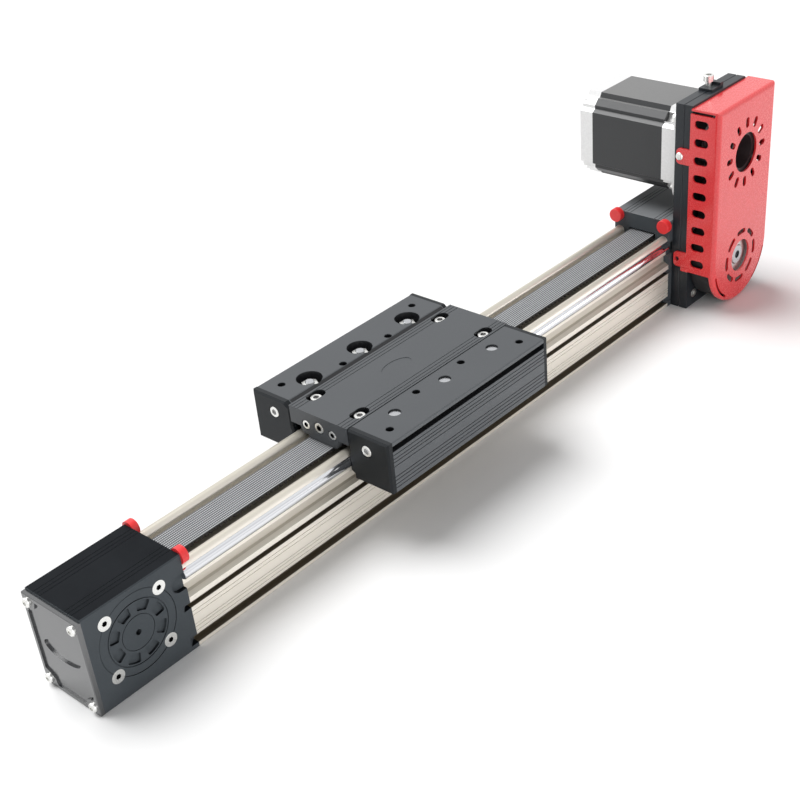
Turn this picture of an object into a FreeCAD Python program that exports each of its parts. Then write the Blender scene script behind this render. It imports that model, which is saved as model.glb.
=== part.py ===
import FreeCAD, Part
import math
import os

# Belt driven linear axis with a side-mounted motor.
# Millimetres. The origin is the centre of the profile's underside.
# +X runs along the axis to the drive end, -Y is the side of the red belt
# cover, +Z is up.

# Profile
profile_length = 650.0
profile_width = 65.0
profile_edge = 0.8
side_wall_top = 47.4
recess_y = 26.5
recess_low = 50.2
recess_high = 55.7
lip_y = 28.8
lip_start = 58.0
channel_half = 21.0
channel_floor = 67.8
bead_y = 26.0
bead_z = 72.8
bead_radius = 4.8
low_slot_low = 3.8
low_slot_high = 11.8
low_slot_neck = 2.8
low_slot_depth = 8.4
low_slot_lip = 1.9
top_slot_low = 37.7
top_slot_high = 42.7
top_slot_neck = 2.0
top_slot_depth = 6.0
top_slot_lip = 1.8
groove_heights = (14.9, 18.5, 21.2, 30.1, 33.7)
groove_width = 0.6
groove_depth = 0.5
chamber_half = 15.5
low_chamber_low = 5.6
low_chamber_high = 31.5
mid_chamber_low = 36.5
mid_chamber_high = 52.0
top_chamber_low = 56.8
top_chamber_high = 63.5

# Guide rods
rod_radius = 5.0
rod_y_pos = 29.3
rod_z_pos = 68.6
rod_seat_gap = 0.05

# End housings, the idler's is the smaller one
idler_housing_length = 92.0
idler_housing_height = 88.5
idler_axis_gap = 48.7
drive_housing_length = 104.0
drive_housing_height = 94.0
drive_axis_gap = 56.0
housing_edge = 1.0
axis_height = 48.0
chamber_radius = 32.5
chamber_side = 25.2
belt_slot_half = 16.0
belt_slot_room = 2.0
top_line_positions = (14.5, 18.6, 22.5)
top_line_width = 0.7
top_line_depth = 0.5
scoop_length = 13.0
scoop_low = 57.0
scoop_high = 72.0
scoop_depth = 3.7
slot_run_in = 7.0
slot_run_in_depth = 5.5

# Screws that hold the housings on the profile ends
end_bore_y = 19.5
end_bore_low = 25.0
end_bore_high = 55.7
end_screw_radius = 3.0
end_screw_head = 5.0
end_screw_head_height = 6.0
end_screw_seat = 13.0
end_screw_grip = 20.0
end_bore_stop = 8.0
head_room = 0.5
thread_gap = 0.05
thread_end = 0.5

# End caps
cap_thickness = 4.2
idler_cap_height = 86.5
idler_cap_rise = 36.5
drive_cap_height = 92.0
drive_cap_rise = 38.8
cap_rim = 3.3
cap_panel_depth = 1.4
cap_corner = 12.0
cap_oval_long = 43.0
cap_oval_high = 17.0
cap_oval_depth = 1.6
cap_screw_y = 26.5
cap_screw_radius = 2.0
cap_screw_head = 4.2
cap_screw_head_height = 2.6
cap_screw_grip = 7.0
cap_pin_radius = 1.2
cap_pin_offset = 7.0
cap_pin_depth = 2.1
cap_edge = 0.6

# Bearing covers
cover_radius = 35.5
cover_fit = 0.05
cover_edge = 0.8
cover_screw_half = 25.1
cover_screw_radius = 2.5
cover_screw_head = 5.9
cover_screw_length = 14.0
cover_line_radius = 28.0
cover_line_width = 1.0
cover_line_depth = 0.8
cover_pocket_inner = 17.5
cover_pocket_outer = 26.0
cover_pocket_spread = 28.0
cover_pocket_corner = 1.6
cover_pocket_depth = 2.2
cover_hub_line_radius = 15.1
cover_hub_line_width = 0.6
cover_pocket_count = 8
cover_centre_radius = 2.5
boss_wall = 4.0
bearing_pocket_floor = 6.0

# Bearings, shafts and belt pulleys of the axis
bearing_fit = 0.02
bearing_face_groove = 0.5
idler_shaft_radius = 7.5
idler_bearing_radius = 16.0
idler_bearing_width = 9.0
drive_shaft_radius = 10.0
drive_bearing_radius = 18.5
drive_bearing_width = 9.0
shaft_end_gap = 0.3
shaft_hole_gap = 1.0
belt_pitch = 5.0
belt_back = 1.73
belt_tooth = 2.08
belt_pitch_offset = 0.571
belt_tooth_base = 3.2
belt_tooth_tip = 1.8
pulley_gap = 0.3
groove_radius = 1.55
main_teeth = 34
main_belt_width = 28.0
main_pulley_width = 30.0
idler_hub_radius = 12.0
drive_hub_radius = 14.0
hub_gap = 0.2
press_gap = 0.02

# Rubber bumpers
bumper_radius = 7.0
bumper_length = 6.5
bumper_y = 28.3
idler_bumper_z = 84.6
drive_bumper_z = 90.0
bumper_stud_radius = 2.5
bumper_stud_length = 8.0
bumper_edge = 0.8
stud_end_gap = 0.3

# Motor plates and their screws
plate_width = 99.4
plate_height = 215.0
plate_thickness = 9.25
plate_seam = 0.7
plate_corner = 5.0
plate_shaft_gap = 2.0
plate_screw_side = 35.0
plate_screw_low = 12.0
plate_screw_high = 84.0
plate_screw_radius = 3.0
plate_screw_head = 5.0
plate_screw_head_height = 6.0
plate_screw_grip = 12.0

# Belt tension block and screw on the plate's top edge
tension_half = 10.0
tension_height = 2.5
tension_bar_width = 5.0
tension_depth = 15.0
tension_bar_rise = 2.5
tension_screw_radius = 3.0
tension_screw_head = 5.0
tension_screw_head_height = 6.0
tension_screw_stand = 4.5
tension_screw_depth = 16.0

# Side belt drive
side_teeth_driven = 56
side_teeth_motor = 28
side_belt_teeth = 87
side_belt_width = 25.0
side_belt_gap = 1.5
side_flange = 1.0
side_flange_rise = 2.4
driven_hub_radius = 16.0
driven_web = 6.0
driven_rim = 6.0
motor_pulley_dish_radius = 16.5
motor_pulley_dish_depth = 14.0
motor_shaft_stand = 1.5
shaft_centre_radius = 4.0
shaft_centre_depth = 8.0

# Motor
motor_size = 86.0
motor_flange = 6.0
motor_flange_corner = 6.0
motor_step = 13.5
motor_stator_length = 82.3
motor_bell_length = 15.7
motor_pilot_radius = 36.5
motor_pilot_length = 3.0
motor_shaft_radius = 7.0
motor_screw_half = 34.8
motor_screw_radius = 3.0
motor_screw_head = 4.5
motor_screw_head_height = 5.0
motor_screw_grip = 14.0
motor_corner = ((43.0, 27.0), (38.5, 29.5), (38.5, 33.0), (33.0, 38.5), (29.5, 38.5), (27.0, 43.0))
motor_tie_radius = 1.8
motor_rotor_radius = 25.5
motor_air_gap = 0.5
motor_bearing_radius = 15.0
motor_bearing_width = 9.0
motor_end_room = 6.0
grommet_radius = 5.5
grommet_length = 5.0
grommet_bore = 3.0

# Red belt cover, a folded sheet
cover_width = 103.4
cover_sheet = 2.0
cover_top = 213.0
cover_face_gap = 4.5
cover_bend = 4.5
cover_rim_depth = 6.0
cover_flange_bottom = 42.3
cover_relief = 3.0
cover_slot_count = 9
cover_slot_first = 53.4
cover_slot_pitch = 18.16
cover_slot_long = 15.5
cover_slot_high = 8.2
cover_slot_y = 62.3
tab_reach = 15.5
tab_high_low = 155.8
tab_high_top = 171.8
tab_low_low = 46.6
tab_low_top = 62.6
tab_hole_radius = 2.3
tab_hole_inset = 4.0
tab_corner = 4.0
tongue_reach = 7.0
motor_hole_radius = 19.5
motor_slot_ring = 30.0
motor_slot_count = 12
motor_slot_long = 10.5
motor_slot_wide = 5.8
drive_hole_radius = 16.5
drive_arc_ring = 26.0
drive_arc_count = 8
drive_arc_long = 15.5
drive_arc_wide = 5.0
rim_slit_outer = 48.5
rim_slit_inner = 46.1
rim_slit_end = 236.0
guard_screw_radius = 2.0
guard_screw_head = 4.0
guard_screw_head_height = 2.4
guard_screw_grip = 7.0

# Carriage
carriage_x = -41.8
carriage_length = 208.2
tank_thickness = 5.6
carriage_half_width = 77.4
carriage_bottom = 54.2
carriage_top = 101.4
plate_half = 33.0
plate_bottom = 80.8
joint_gap = 0.05
nose_half = 18.6
nose_bottom = 76.8
nose_length = 12.0
nose_notch = 6.0
tongue_inner = 21.0
tongue_height = 4.6
block_chamfer_side = 6.0
block_chamfer_top = 4.6
near_chamfer_side = 1.2
near_chamfer_top = 0.9
cavity_outer = 67.0
cavity_low = 59.5
cavity_high = 79.8
floor_inner = 35.8
side_slot_low = 92.4
side_slot_high = 97.8
side_slot_depth = 6.0
rib_heights = (89.3, 85.6, 82.6, 78.7, 68.8, 65.5, 61.9, 58.5)
rib_width = 0.8
rib_depth = 0.6
plate_lines = (23.2, 27.0, 30.6)
plate_line_width = 0.7
plate_line_depth = 0.4
oval_x = -6.5
oval_long = 33.4
oval_wide = 17.6
oval_depth = 0.4
mount_outer_x = 84.0
mount_outer_y = 62.0
mount_inner_x = 29.0
mount_inner_y = 42.0
mount_hole_radius = 3.4
mount_hole_depth = 16.0
mount_hole_chamfer = 0.4
oblong_x = 80.0
oblong_y = 25.0
oblong_long = 19.0
oblong_wide = 11.2
oblong_depth = 8.0
joint_screw_radius = 3.0
joint_screw_head = 5.0
joint_screw_head_height = 6.0

# Belt clamps in the carriage
clamp_length = 38.0
clamp_half = 18.0
clamp_top = 94.2
clamp_room = 0.2
clamp_slot_rise = 1.0
clamp_screw_z = 90.0
clamp_screw_radius = 3.0
clamp_screw_head = 5.0
clamp_screw_head_height = 5.0
tension_pair_y = 15.0
tension_pair_z = 88.2
tension_pair_radius = 2.0
tension_pair_head = 4.2
tension_pair_head_height = 3.0
clamp_screw_grip = 14.0

# Rollers and axles
roller_spacing = 63.0
roller_radius = 16.0
roller_width = 14.0
roller_side_gap = 0.05
roller_bore = 5.5
roller_bore_gap = 0.05
roller_rod_gap = 0.3
axle_y = 48.5
axle_below_top = 1.5
axle_bottom_gap = 0.4
axle_boss_radius = 8.5
axle_edge = 0.6
eccentricity = 1.0
eccentric_bush_radius = 8.0
nut_recess_radius = 11.6
nut_recess_depth = 10.4
nut_stud_radius = 4.0
nut_stud_rise = 2.0
nut_flat = 13.0
nut_height = 5.5

# Lubricator caps on the carriage ends
tank_bevel = 1.7
tank_inner = 31.8
tank_nose_low = 61.3
tank_nose_high = 76.1
tank_rod_gap = 0.4
tank_screw_y = 53.0
tank_screw_z = 87.3
tank_screw_radius = 2.5
tank_screw_head = 5.0
tank_screw_head_height = 3.0
tank_screw_grip = 12.0
felt_width = 7.4
felt_height = 9.3
felt_thickness = 3.2
felt_gap = 0.05

# Places that follow from the sizes above
half_profile = profile_length / 2
half_width = profile_width / 2
drive_x = half_profile + drive_axis_gap
idler_x = -half_profile - idler_axis_gap
idler_end = half_profile + idler_housing_length
drive_end = half_profile + drive_housing_length
main_pitch_radius = belt_pitch * main_teeth / (2 * math.pi)
main_inner_radius = main_pitch_radius - belt_pitch_offset
main_outer_radius = main_inner_radius + belt_back
main_tip_radius = main_inner_radius - pulley_gap
driven_inner_radius = belt_pitch * side_teeth_driven / (2 * math.pi) - belt_pitch_offset
motor_inner_radius = belt_pitch * side_teeth_motor / (2 * math.pi) - belt_pitch_offset
bearing_floor_y = half_width - bearing_pocket_floor
cover_seat_y = chamber_side
idler_bearing_inner = bearing_floor_y - idler_bearing_width
drive_bearing_inner = bearing_floor_y - drive_bearing_width
plate_back_y = -half_width
plate_mid_y = plate_back_y - plate_thickness
plate_front_y = plate_mid_y - plate_thickness
plate_left = drive_x - plate_width / 2
plate_right = drive_x + plate_width / 2
side_belt_back_y = plate_front_y - side_belt_gap
side_belt_front_y = side_belt_back_y - side_belt_width
guard_face_y = side_belt_front_y - cover_face_gap
guard_round_z = cover_width / 2
guard_left = drive_x - cover_width / 2
guard_right = drive_x + cover_width / 2
motor_back_of_flange = plate_back_y + motor_flange
motor_stator_start = motor_back_of_flange + motor_step
motor_stator_end = motor_stator_start + motor_stator_length
motor_end = motor_stator_end + motor_bell_length
carriage_half = carriage_length / 2
block_half = carriage_half - tank_thickness
roller_low = rod_z_pos - roller_width / 2
roller_high = rod_z_pos + roller_width / 2
roller_offsets = (-roller_spacing, 0.0, roller_spacing)


def side_belt_span():
    """Centre distance at which the side belt is tight."""
    big = belt_pitch * side_teeth_driven / (2 * math.pi)
    small = belt_pitch * side_teeth_motor / (2 * math.pi)
    length = belt_pitch * side_belt_teeth
    span = (length - math.pi * (big + small)) / 2
    for step in range(30):
        lean = math.asin((big - small) / span)
        made = 2 * span * math.cos(lean) + big * (math.pi + 2 * lean) + small * (math.pi - 2 * lean)
        span += (length - made) / 2
    return span


motor_z = axis_height + side_belt_span()


def vec(x, y, z):
    return FreeCAD.Vector(x, y, z)


def box(x0, x1, y0, y1, z0, z1):
    return Part.makeBox(x1 - x0, y1 - y0, z1 - z0, vec(x0, y0, z0))


def bar_x(radius, x0, x1, y, z):
    return Part.makeCylinder(radius, x1 - x0, vec(x0, y, z), vec(1, 0, 0))


def bar_y(radius, y0, y1, x, z):
    return Part.makeCylinder(radius, y1 - y0, vec(x, y0, z), vec(0, 1, 0))


def bar_z(radius, z0, z1, x, y):
    return Part.makeCylinder(radius, z1 - z0, vec(x, y, z0), vec(0, 0, 1))


def prism(points, travel):
    """Solid swept from a closed flat polygon along a vector."""
    corners = [vec(*p) for p in points]
    corners.append(corners[0])
    return Part.Face(Part.makePolygon(corners)).extrude(travel)


def prism_x(points, x0, x1):
    return prism([(x0, y, z) for y, z in points], vec(x1 - x0, 0, 0))


def prism_y(points, y0, y1):
    return prism([(x, y0, z) for x, z in points], vec(0, y1 - y0, 0))


def prism_z(points, z0, z1):
    return prism([(x, y, z0) for x, y in points], vec(0, 0, z1 - z0))


def join(shapes):
    return shapes[0].multiFuse(shapes[1:]).removeSplitter()


def cut(base, tools):
    return base.cut(tools)


def group(shapes):
    return Part.makeCompound(shapes)


def flip_x(shape, x=0.0):
    return shape.mirror(vec(x, 0, 0), vec(1, 0, 0))


def flip_y(shape):
    return shape.mirror(vec(0, 0, 0), vec(0, 1, 0))


def place(shape, point, direction):
    """Turn a shape made along +Z to a direction and move it to a point."""
    moved = shape.copy()
    moved.Placement = FreeCAD.Placement(point, FreeCAD.Rotation(vec(0, 0, 1), direction))
    return moved


def hexagon(flat, z0, z1):
    corner = flat / math.sqrt(3)
    points = []
    for k in range(6):
        angle = math.radians(60 * k)
        points.append((corner * math.cos(angle), corner * math.sin(angle)))
    return prism_z(points, z0, z1)


def cap_screw(radius, head, head_height, length):
    """Socket head screw along +Z, its head standing on z = 0."""
    body = join([bar_z(head, 0, head_height, 0, 0), bar_z(radius, -length, 0.1, 0, 0)])
    rim = [e for e in body.Edges if e.BoundBox.ZMin > head_height - 0.01]
    body = body.makeChamfer(0.35, rim)
    return cut(body, [hexagon(head, head_height * 0.45, head_height + 1)])


def flat_screw(radius, head, length):
    """Countersunk screw along +Z, its face at z = 0."""
    height = head - radius
    cone = Part.makeCone(radius, head, height, vec(0, 0, -height), vec(0, 0, 1))
    body = join([cone, bar_z(radius, -length, -height + 0.1, 0, 0)])
    return cut(body, [hexagon(head * 0.7, -height * 0.7, 1)])


def button_screw(radius, head, head_height, length):
    """Round head screw along +Z, its head standing on z = 0."""
    body = join([bar_z(head, 0, head_height, 0, 0), bar_z(radius, -length, 0.1, 0, 0)])
    rim = [e for e in body.Edges if e.BoundBox.ZMin > head_height - 0.01]
    body = body.makeFillet(head_height * 0.7, rim)
    return cut(body, [hexagon(head * 0.9, head_height * 0.45, head_height + 1)])


def stadium_z(x, y, long, wide, z0, z1):
    """Round-ended slot tool, long along X, cut along Z."""
    half = (long - wide) / 2
    ends = [bar_z(wide / 2, z0, z1, x - half, y), bar_z(wide / 2, z0, z1, x + half, y)]
    return join(ends + [box(x - half, x + half, y - wide / 2, y + wide / 2, z0, z1)])


def ellipse_plate(long, wide, height):
    """Flat oval solid in the XY plane, standing on z = 0."""
    curve = Part.Ellipse(vec(0, 0, 0), long / 2, wide / 2)
    return Part.Face(Part.Wire([curve.toShape()])).extrude(vec(0, 0, height))


def toothed_disc(x, z, tip_radius, teeth, y0, y1):
    """Belt pulley body with round grooves, its axis along Y."""
    disc = bar_y(tip_radius, y0, y1, x, z)
    grooves = []
    for k in range(teeth):
        angle = 2 * math.pi * (k + 0.5) / teeth
        gx = x + tip_radius * math.cos(angle)
        gz = z + tip_radius * math.sin(angle)
        grooves.append(bar_y(groove_radius, y0 - 1, y1 + 1, gx, gz))
    return cut(disc, grooves)


def ring_bearing(x, z, bore, outer, y0, y1):
    """Ball bearing as one ring with a shallow groove in each face."""
    ring = bar_y(outer, y0, y1, x, z)
    mid = (bore + outer) / 2
    band = (outer - bore) / 5
    tools = [bar_y(bore, y0 - 1, y1 + 1, x, z)]
    for low, high in ((y0 - 1, y0 + bearing_face_groove), (y1 - bearing_face_groove, y1 + 1)):
        wide = bar_y(mid + band, low, high, x, z)
        tools.append(wide.cut(bar_y(mid - band, low, high, x, z)))
    return cut(ring, tools)


def save(name, shape):
    shape.exportStep(os.path.join("parts", name + ".step"))


# Profile and rods

def profile_side():
    """Right half of the section from the foot up to the channel floor."""
    hw = half_width
    low_back = hw - low_slot_depth
    low_neck = hw - low_slot_neck
    top_back = hw - top_slot_depth
    top_neck = hw - top_slot_neck
    pts = [(hw - profile_edge, 0), (hw, profile_edge)]
    pts += [(hw, low_slot_low), (low_neck, low_slot_low), (low_neck, low_slot_low - low_slot_lip)]
    pts += [(low_back, low_slot_low - low_slot_lip), (low_back, low_slot_high + low_slot_lip)]
    pts += [(low_neck, low_slot_high + low_slot_lip), (low_neck, low_slot_high), (hw, low_slot_high)]
    for z in groove_heights:
        low = z - groove_width / 2
        high = z + groove_width / 2
        pts += [(hw, low), (hw - groove_depth, low), (hw - groove_depth, high), (hw, high)]
    pts += [(hw, top_slot_low), (top_neck, top_slot_low), (top_neck, top_slot_low - top_slot_lip)]
    pts += [(top_back, top_slot_low - top_slot_lip), (top_back, top_slot_high + top_slot_lip)]
    pts += [(top_neck, top_slot_high + top_slot_lip), (top_neck, top_slot_high), (hw, top_slot_high)]
    pts += [(hw, side_wall_top), (recess_y, recess_low), (recess_y, recess_high), (lip_y, lip_start)]
    pts += [(lip_y, bead_z), (channel_half, bead_z), (channel_half, channel_floor)]
    return pts


def end_bores():
    return [(s * end_bore_y, z) for s in (-1, 1) for z in (end_bore_low, end_bore_high)]


def make_profile():
    side = profile_side()
    outline = side + [(-y, z) for y, z in reversed(side)]
    x0 = -half_profile
    x1 = half_profile
    body = prism_x(outline, x0, x1)
    beads = [bar_x(bead_radius, x0, x1, s * bead_y, bead_z) for s in (-1, 1)]
    body = join([body] + beads)
    tools = []
    for s in (-1, 1):
        tools.append(bar_x(rod_radius + rod_seat_gap, x0 - 1, x1 + 1, s * rod_y_pos, rod_z_pos))
        tools.append(box(x0 - 1, x1 + 1, min(0, s * channel_half), max(0, s * channel_half),
                         channel_floor, bead_z + bead_radius + 1))
    for low, high in ((low_chamber_low, low_chamber_high), (mid_chamber_low, mid_chamber_high),
                      (top_chamber_low, top_chamber_high)):
        tools.append(box(x0 - 1, x1 + 1, -chamber_half, chamber_half, low, high))
    for y, z in end_bores():
        tools.append(bar_x(end_screw_radius + thread_gap, x0 - 1, x1 + 1, y, z))
    return cut(body, tools)


def make_rod(side):
    rod = bar_x(rod_radius, -half_profile, half_profile, side * rod_y_pos, rod_z_pos)
    return rod.makeChamfer(0.5, [e for e in rod.Edges if e.Closed and e.BoundBox.XLength < 0.01])


# End housings, made at the drive end and mirrored for the idler end

def cover_screw_points(x):
    spots = []
    for sx in (-1, 1):
        for sz in (-1, 1):
            spots.append((x + sx * cover_screw_half, axis_height + sz * cover_screw_half))
    return spots


def cover_screw_holes(x, side):
    """Clearance for the four countersunk screws on one side."""
    tools = []
    radius = cover_screw_radius + thread_gap
    for px, pz in cover_screw_points(x):
        face = side * half_width
        inner = side * (half_width - cover_screw_length - 0.5)
        tools.append(bar_y(radius, min(face, inner) - 0.5, max(face, inner) + 0.5, px, pz))
        depth = cover_screw_head - cover_screw_radius
        head = cover_screw_head + thread_gap
        tools.append(Part.makeCone(head, radius, depth, vec(px, face, pz), vec(0, -side, 0)))
    return tools


def top_lines(end, height):
    tools = []
    for y in top_line_positions:
        for s in (-1, 1):
            mid = s * y
            tools.append(box(half_profile - 1, end + 1, mid - top_line_width / 2, mid + top_line_width / 2,
                             height - top_line_depth, height + 1))
    return tools


def side_scoop(side):
    """Rounded hollow beside the end of the rod."""
    face = side * half_width
    inner = side * (half_width - scoop_depth)
    radius = (scoop_high - scoop_low) / 2
    mid = (scoop_high + scoop_low) / 2
    y0 = min(face + side, inner)
    y1 = max(face + side, inner)
    end = half_profile + scoop_length - radius
    return [box(half_profile - 1, end, y0, y1, scoop_low, scoop_high), bar_y(radius, y0, y1, end, mid)]


def slot_notches(side):
    """Run-in notches in line with the two slots of the profile."""
    tools = []
    for low, high in ((low_slot_low, low_slot_high), (top_slot_low, top_slot_high)):
        pts = [(half_profile - 1, half_width + 1), (half_profile + slot_run_in + 1, half_width + 1),
               (half_profile + slot_run_in, half_width),
               (half_profile + slot_run_in - slot_run_in_depth, half_width - slot_run_in_depth),
               (half_profile - 1, half_width - slot_run_in_depth)]
        tools.append(prism_z([(x, side * y) for x, y in pts], low, high))
    return tools


def cap_screw_spots(height, rise):
    mid = height / 2
    return [(s * cap_screw_y, mid + t * rise) for s in (-1, 1) for t in (-1, 1)]


def make_housing(axis_gap, length, height, cap_height, cap_rise, bumper_z):
    """Housing block as it stands at the +X end, without the plates' holes."""
    e = housing_edge
    hw = half_width
    axis = half_profile + axis_gap
    end = half_profile + length
    outline = [(-hw, 0), (hw, 0), (hw, height - e), (hw - e, height), (-hw + e, height), (-hw, height - e)]
    block = prism_x(outline, half_profile, end)
    tools = [bar_y(chamber_radius, -chamber_side, chamber_side, axis, axis_height)]
    tools.append(bar_y(cover_radius, chamber_side, hw + 1, axis, axis_height))
    tools.append(bar_y(cover_radius, -hw - 1, -chamber_side, axis, axis_height))
    run_top = axis_height + main_outer_radius
    run_low = axis_height - main_outer_radius
    tooth_low = axis_height + main_inner_radius - belt_tooth
    tools.append(box(half_profile - 1, axis, -belt_slot_half, belt_slot_half,
                     tooth_low - belt_slot_room, run_top + belt_slot_room))
    tools.append(box(half_profile - 1, axis, -belt_slot_half, belt_slot_half,
                     run_low - belt_slot_room, run_low + belt_back + belt_tooth + belt_slot_room))
    for side in (-1, 1):
        tools += cover_screw_holes(axis, side)
        tools += side_scoop(side)
        tools += slot_notches(side)
        tools.append(bar_x(bumper_stud_radius + thread_gap, half_profile - 1,
                           half_profile + bumper_stud_length, side * bumper_y, bumper_z))
    tools += top_lines(end, height)
    seat = half_profile + end_screw_seat
    for y, z in end_bores():
        tools.append(bar_x(end_screw_radius + thread_gap, half_profile - 1, seat + 1, y, z))
        tools.append(bar_x(end_screw_head + head_room, seat, axis - end_bore_stop, y, z))
    for y, z in cap_screw_spots(cap_height, cap_rise):
        tools.append(bar_x(cap_screw_radius + thread_gap, end - cap_screw_grip - thread_end, end + 1, y, z))
    return cut(block, tools)


def make_idler_housing():
    return flip_x(make_housing(idler_axis_gap, idler_housing_length, idler_housing_height,
                               idler_cap_height, idler_cap_rise, idler_bumper_z))


def plate_screw_spots():
    return [(drive_x + s * plate_screw_side, z) for s in (-1, 1)
            for z in (plate_screw_low, plate_screw_high)]


def make_drive_housing():
    base = make_housing(drive_axis_gap, drive_housing_length, drive_housing_height,
                        drive_cap_height, drive_cap_rise, drive_bumper_z)
    tools = []
    for x, z in plate_screw_spots():
        tools.append(bar_y(plate_screw_radius + thread_gap, -half_width - 1,
                           -half_width + plate_screw_grip + thread_end, x, z))
    return cut(base, tools)


def make_end_cap(end, height, rise):
    """Cap plate at the +X end with rim, panel and oval recess."""
    mid = height / 2
    hw = half_width
    outer = end + cap_thickness
    plate = box(end, outer, -hw, hw, 0, height)
    plate = plate.makeChamfer(cap_edge, [e for e in plate.Edges if e.BoundBox.XMin > outer - 0.01])
    a = hw - cap_rim
    b = mid - cap_rim
    c = cap_corner
    near = cap_corner * 0.85
    far = cap_corner * 0.55
    step = cap_corner * 0.35
    quarter = [(a, b - c), (a - step, b - near), (a - near, b - far), (a - c, b)]
    panel = list(quarter)
    panel += [(-y, z) for y, z in reversed(quarter)]
    panel += [(-y, -z) for y, z in quarter]
    panel += [(y, -z) for y, z in reversed(quarter)]
    floor = outer - cap_panel_depth
    tools = [prism_x([(y, z + mid) for y, z in panel], floor, outer + 1)]
    oval = ellipse_plate(cap_oval_long, cap_oval_high, cap_oval_depth + 1)
    turned = FreeCAD.Rotation(vec(0, 1, 0), vec(0, 0, 1), vec(1, 0, 0), "XYZ")
    oval.Placement = FreeCAD.Placement(vec(floor - cap_oval_depth, 0, mid), turned)
    tools.append(oval)
    for y, z in cap_screw_spots(height, rise):
        tools.append(bar_x(cap_screw_radius + thread_gap, end - 1, outer + 1, y, z))
    for y, z in ((cap_screw_y, mid + rise - cap_pin_offset), (-cap_screw_y, mid - rise + cap_pin_offset)):
        tools.append(bar_x(cap_pin_radius, outer - cap_pin_depth, outer + 1, y, z))
    return cut(plate, tools)


def make_end_cap_screws():
    screw = button_screw(cap_screw_radius, cap_screw_head, cap_screw_head_height,
                         cap_thickness + cap_screw_grip)
    screws = []
    for y, z in cap_screw_spots(drive_cap_height, drive_cap_rise):
        screws.append(place(screw, vec(drive_end + cap_thickness, y, z), vec(1, 0, 0)))
    for y, z in cap_screw_spots(idler_cap_height, idler_cap_rise):
        screws.append(place(screw, vec(-idler_end - cap_thickness, y, z), vec(-1, 0, 0)))
    return group(screws)


def ring_sector(x, z, inner, outer, start, end, y0, y1):
    """Part of a flat ring between two angles in degrees."""

    def at(radius, angle):
        t = math.radians(angle)
        return (x + radius * math.cos(t), z + radius * math.sin(t))

    mid = (start + end) / 2
    edges = [arc_edge(at(outer, start), at(outer, mid), at(outer, end), y0),
             line_edge(at(outer, end), at(inner, end), y0),
             arc_edge(at(inner, end), at(inner, mid), at(inner, start), y0),
             line_edge(at(inner, start), at(outer, start), y0)]
    return Part.Face(Part.Wire(edges)).extrude(vec(0, y1 - y0, 0))


def ring_line(x, z, outer, wide, y0, y1):
    return bar_y(outer, y0, y1, x, z).cut(bar_y(outer - wide, y0 - 1, y1 + 1, x, z))


def make_bearing_cover(x, bearing_radius, bearing_inner, hole_radius):
    """Cover on the near side with its bearing boss and ring of pockets."""
    hw = half_width
    disc = bar_y(cover_radius - cover_fit, -hw, -cover_seat_y, x, axis_height)
    disc = disc.makeChamfer(cover_edge, [e for e in disc.Edges if e.BoundBox.YMax < -hw + 0.01])
    boss = bar_y(bearing_radius + boss_wall, -cover_seat_y - 0.5, -bearing_inner, x, axis_height)
    body = join([disc, boss])
    tools = [bar_y(bearing_radius, -bearing_floor_y, -bearing_inner + 1, x, axis_height)]
    tools.append(bar_y(hole_radius, -hw - 1, -bearing_floor_y + 1, x, axis_height))
    tools.append(ring_line(x, axis_height, cover_line_radius, cover_line_width, -hw - 1,
                           -hw + cover_line_depth))
    tools.append(ring_line(x, axis_height, cover_hub_line_radius, cover_hub_line_width, -hw - 1,
                           -hw + cover_line_depth))
    for k in range(cover_pocket_count):
        angle = 360.0 * (k + 0.5) / cover_pocket_count
        pocket = ring_sector(x, axis_height, cover_pocket_inner, cover_pocket_outer,
                             angle - cover_pocket_spread / 2,
                             angle + cover_pocket_spread / 2, -hw - 1, -hw + cover_pocket_depth)
        corners = [e for e in pocket.Edges if e.BoundBox.YLength > cover_pocket_depth]
        tools.append(pocket.makeFillet(cover_pocket_corner, corners))
    tools += cover_screw_holes(x, -1)
    return cut(body, tools)


def make_cover_screws():
    screw = flat_screw(cover_screw_radius, cover_screw_head, cover_screw_length)
    screws = []
    for x in (idler_x, drive_x):
        for px, pz in cover_screw_points(x):
            for side in (-1, 1):
                screws.append(place(screw, vec(px, side * (half_width - thread_gap), pz), vec(0, side, 0)))
    return group(screws)


def make_profile_end_screws():
    screw = cap_screw(end_screw_radius, end_screw_head, end_screw_head_height,
                      end_screw_seat + end_screw_grip)
    seat = half_profile + end_screw_seat
    screws = []
    for y, z in end_bores():
        screws.append(place(screw, vec(seat, y, z), vec(1, 0, 0)))
        screws.append(place(screw, vec(-seat, y, z), vec(-1, 0, 0)))
    return group(screws)


def make_bearing_pair(x, shaft_radius, bearing_radius, inner):
    far = ring_bearing(x, axis_height, shaft_radius + bearing_fit, bearing_radius - bearing_fit,
                       inner, bearing_floor_y - 0.02)
    return group([flip_y(far), far])


def bumper_pair(z):
    """The two rubber bumpers of the +X housing, with their studs."""
    front = half_profile - bumper_length
    cushion = bar_x(bumper_radius, front, half_profile, bumper_y, z)
    cushion = cushion.makeFillet(bumper_edge, [e for e in cushion.Edges if e.BoundBox.XMax < front + 0.01])
    stud = bar_x(bumper_stud_radius, half_profile - 1, half_profile + bumper_stud_length - stud_end_gap,
                 bumper_y, z)
    one = join([cushion, stud])
    return [one, flip_y(one)]


def make_bumpers():
    return group(bumper_pair(drive_bumper_z) + [flip_x(b) for b in bumper_pair(idler_bumper_z)])


# Belts

def line_edge(a, b, y):
    return Part.LineSegment(vec(a[0], y, a[1]), vec(b[0], y, b[1])).toShape()


def arc_edge(a, m, b, y):
    return Part.Arc(vec(a[0], y, a[1]), vec(m[0], y, m[1]), vec(b[0], y, b[1])).toShape()


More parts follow.
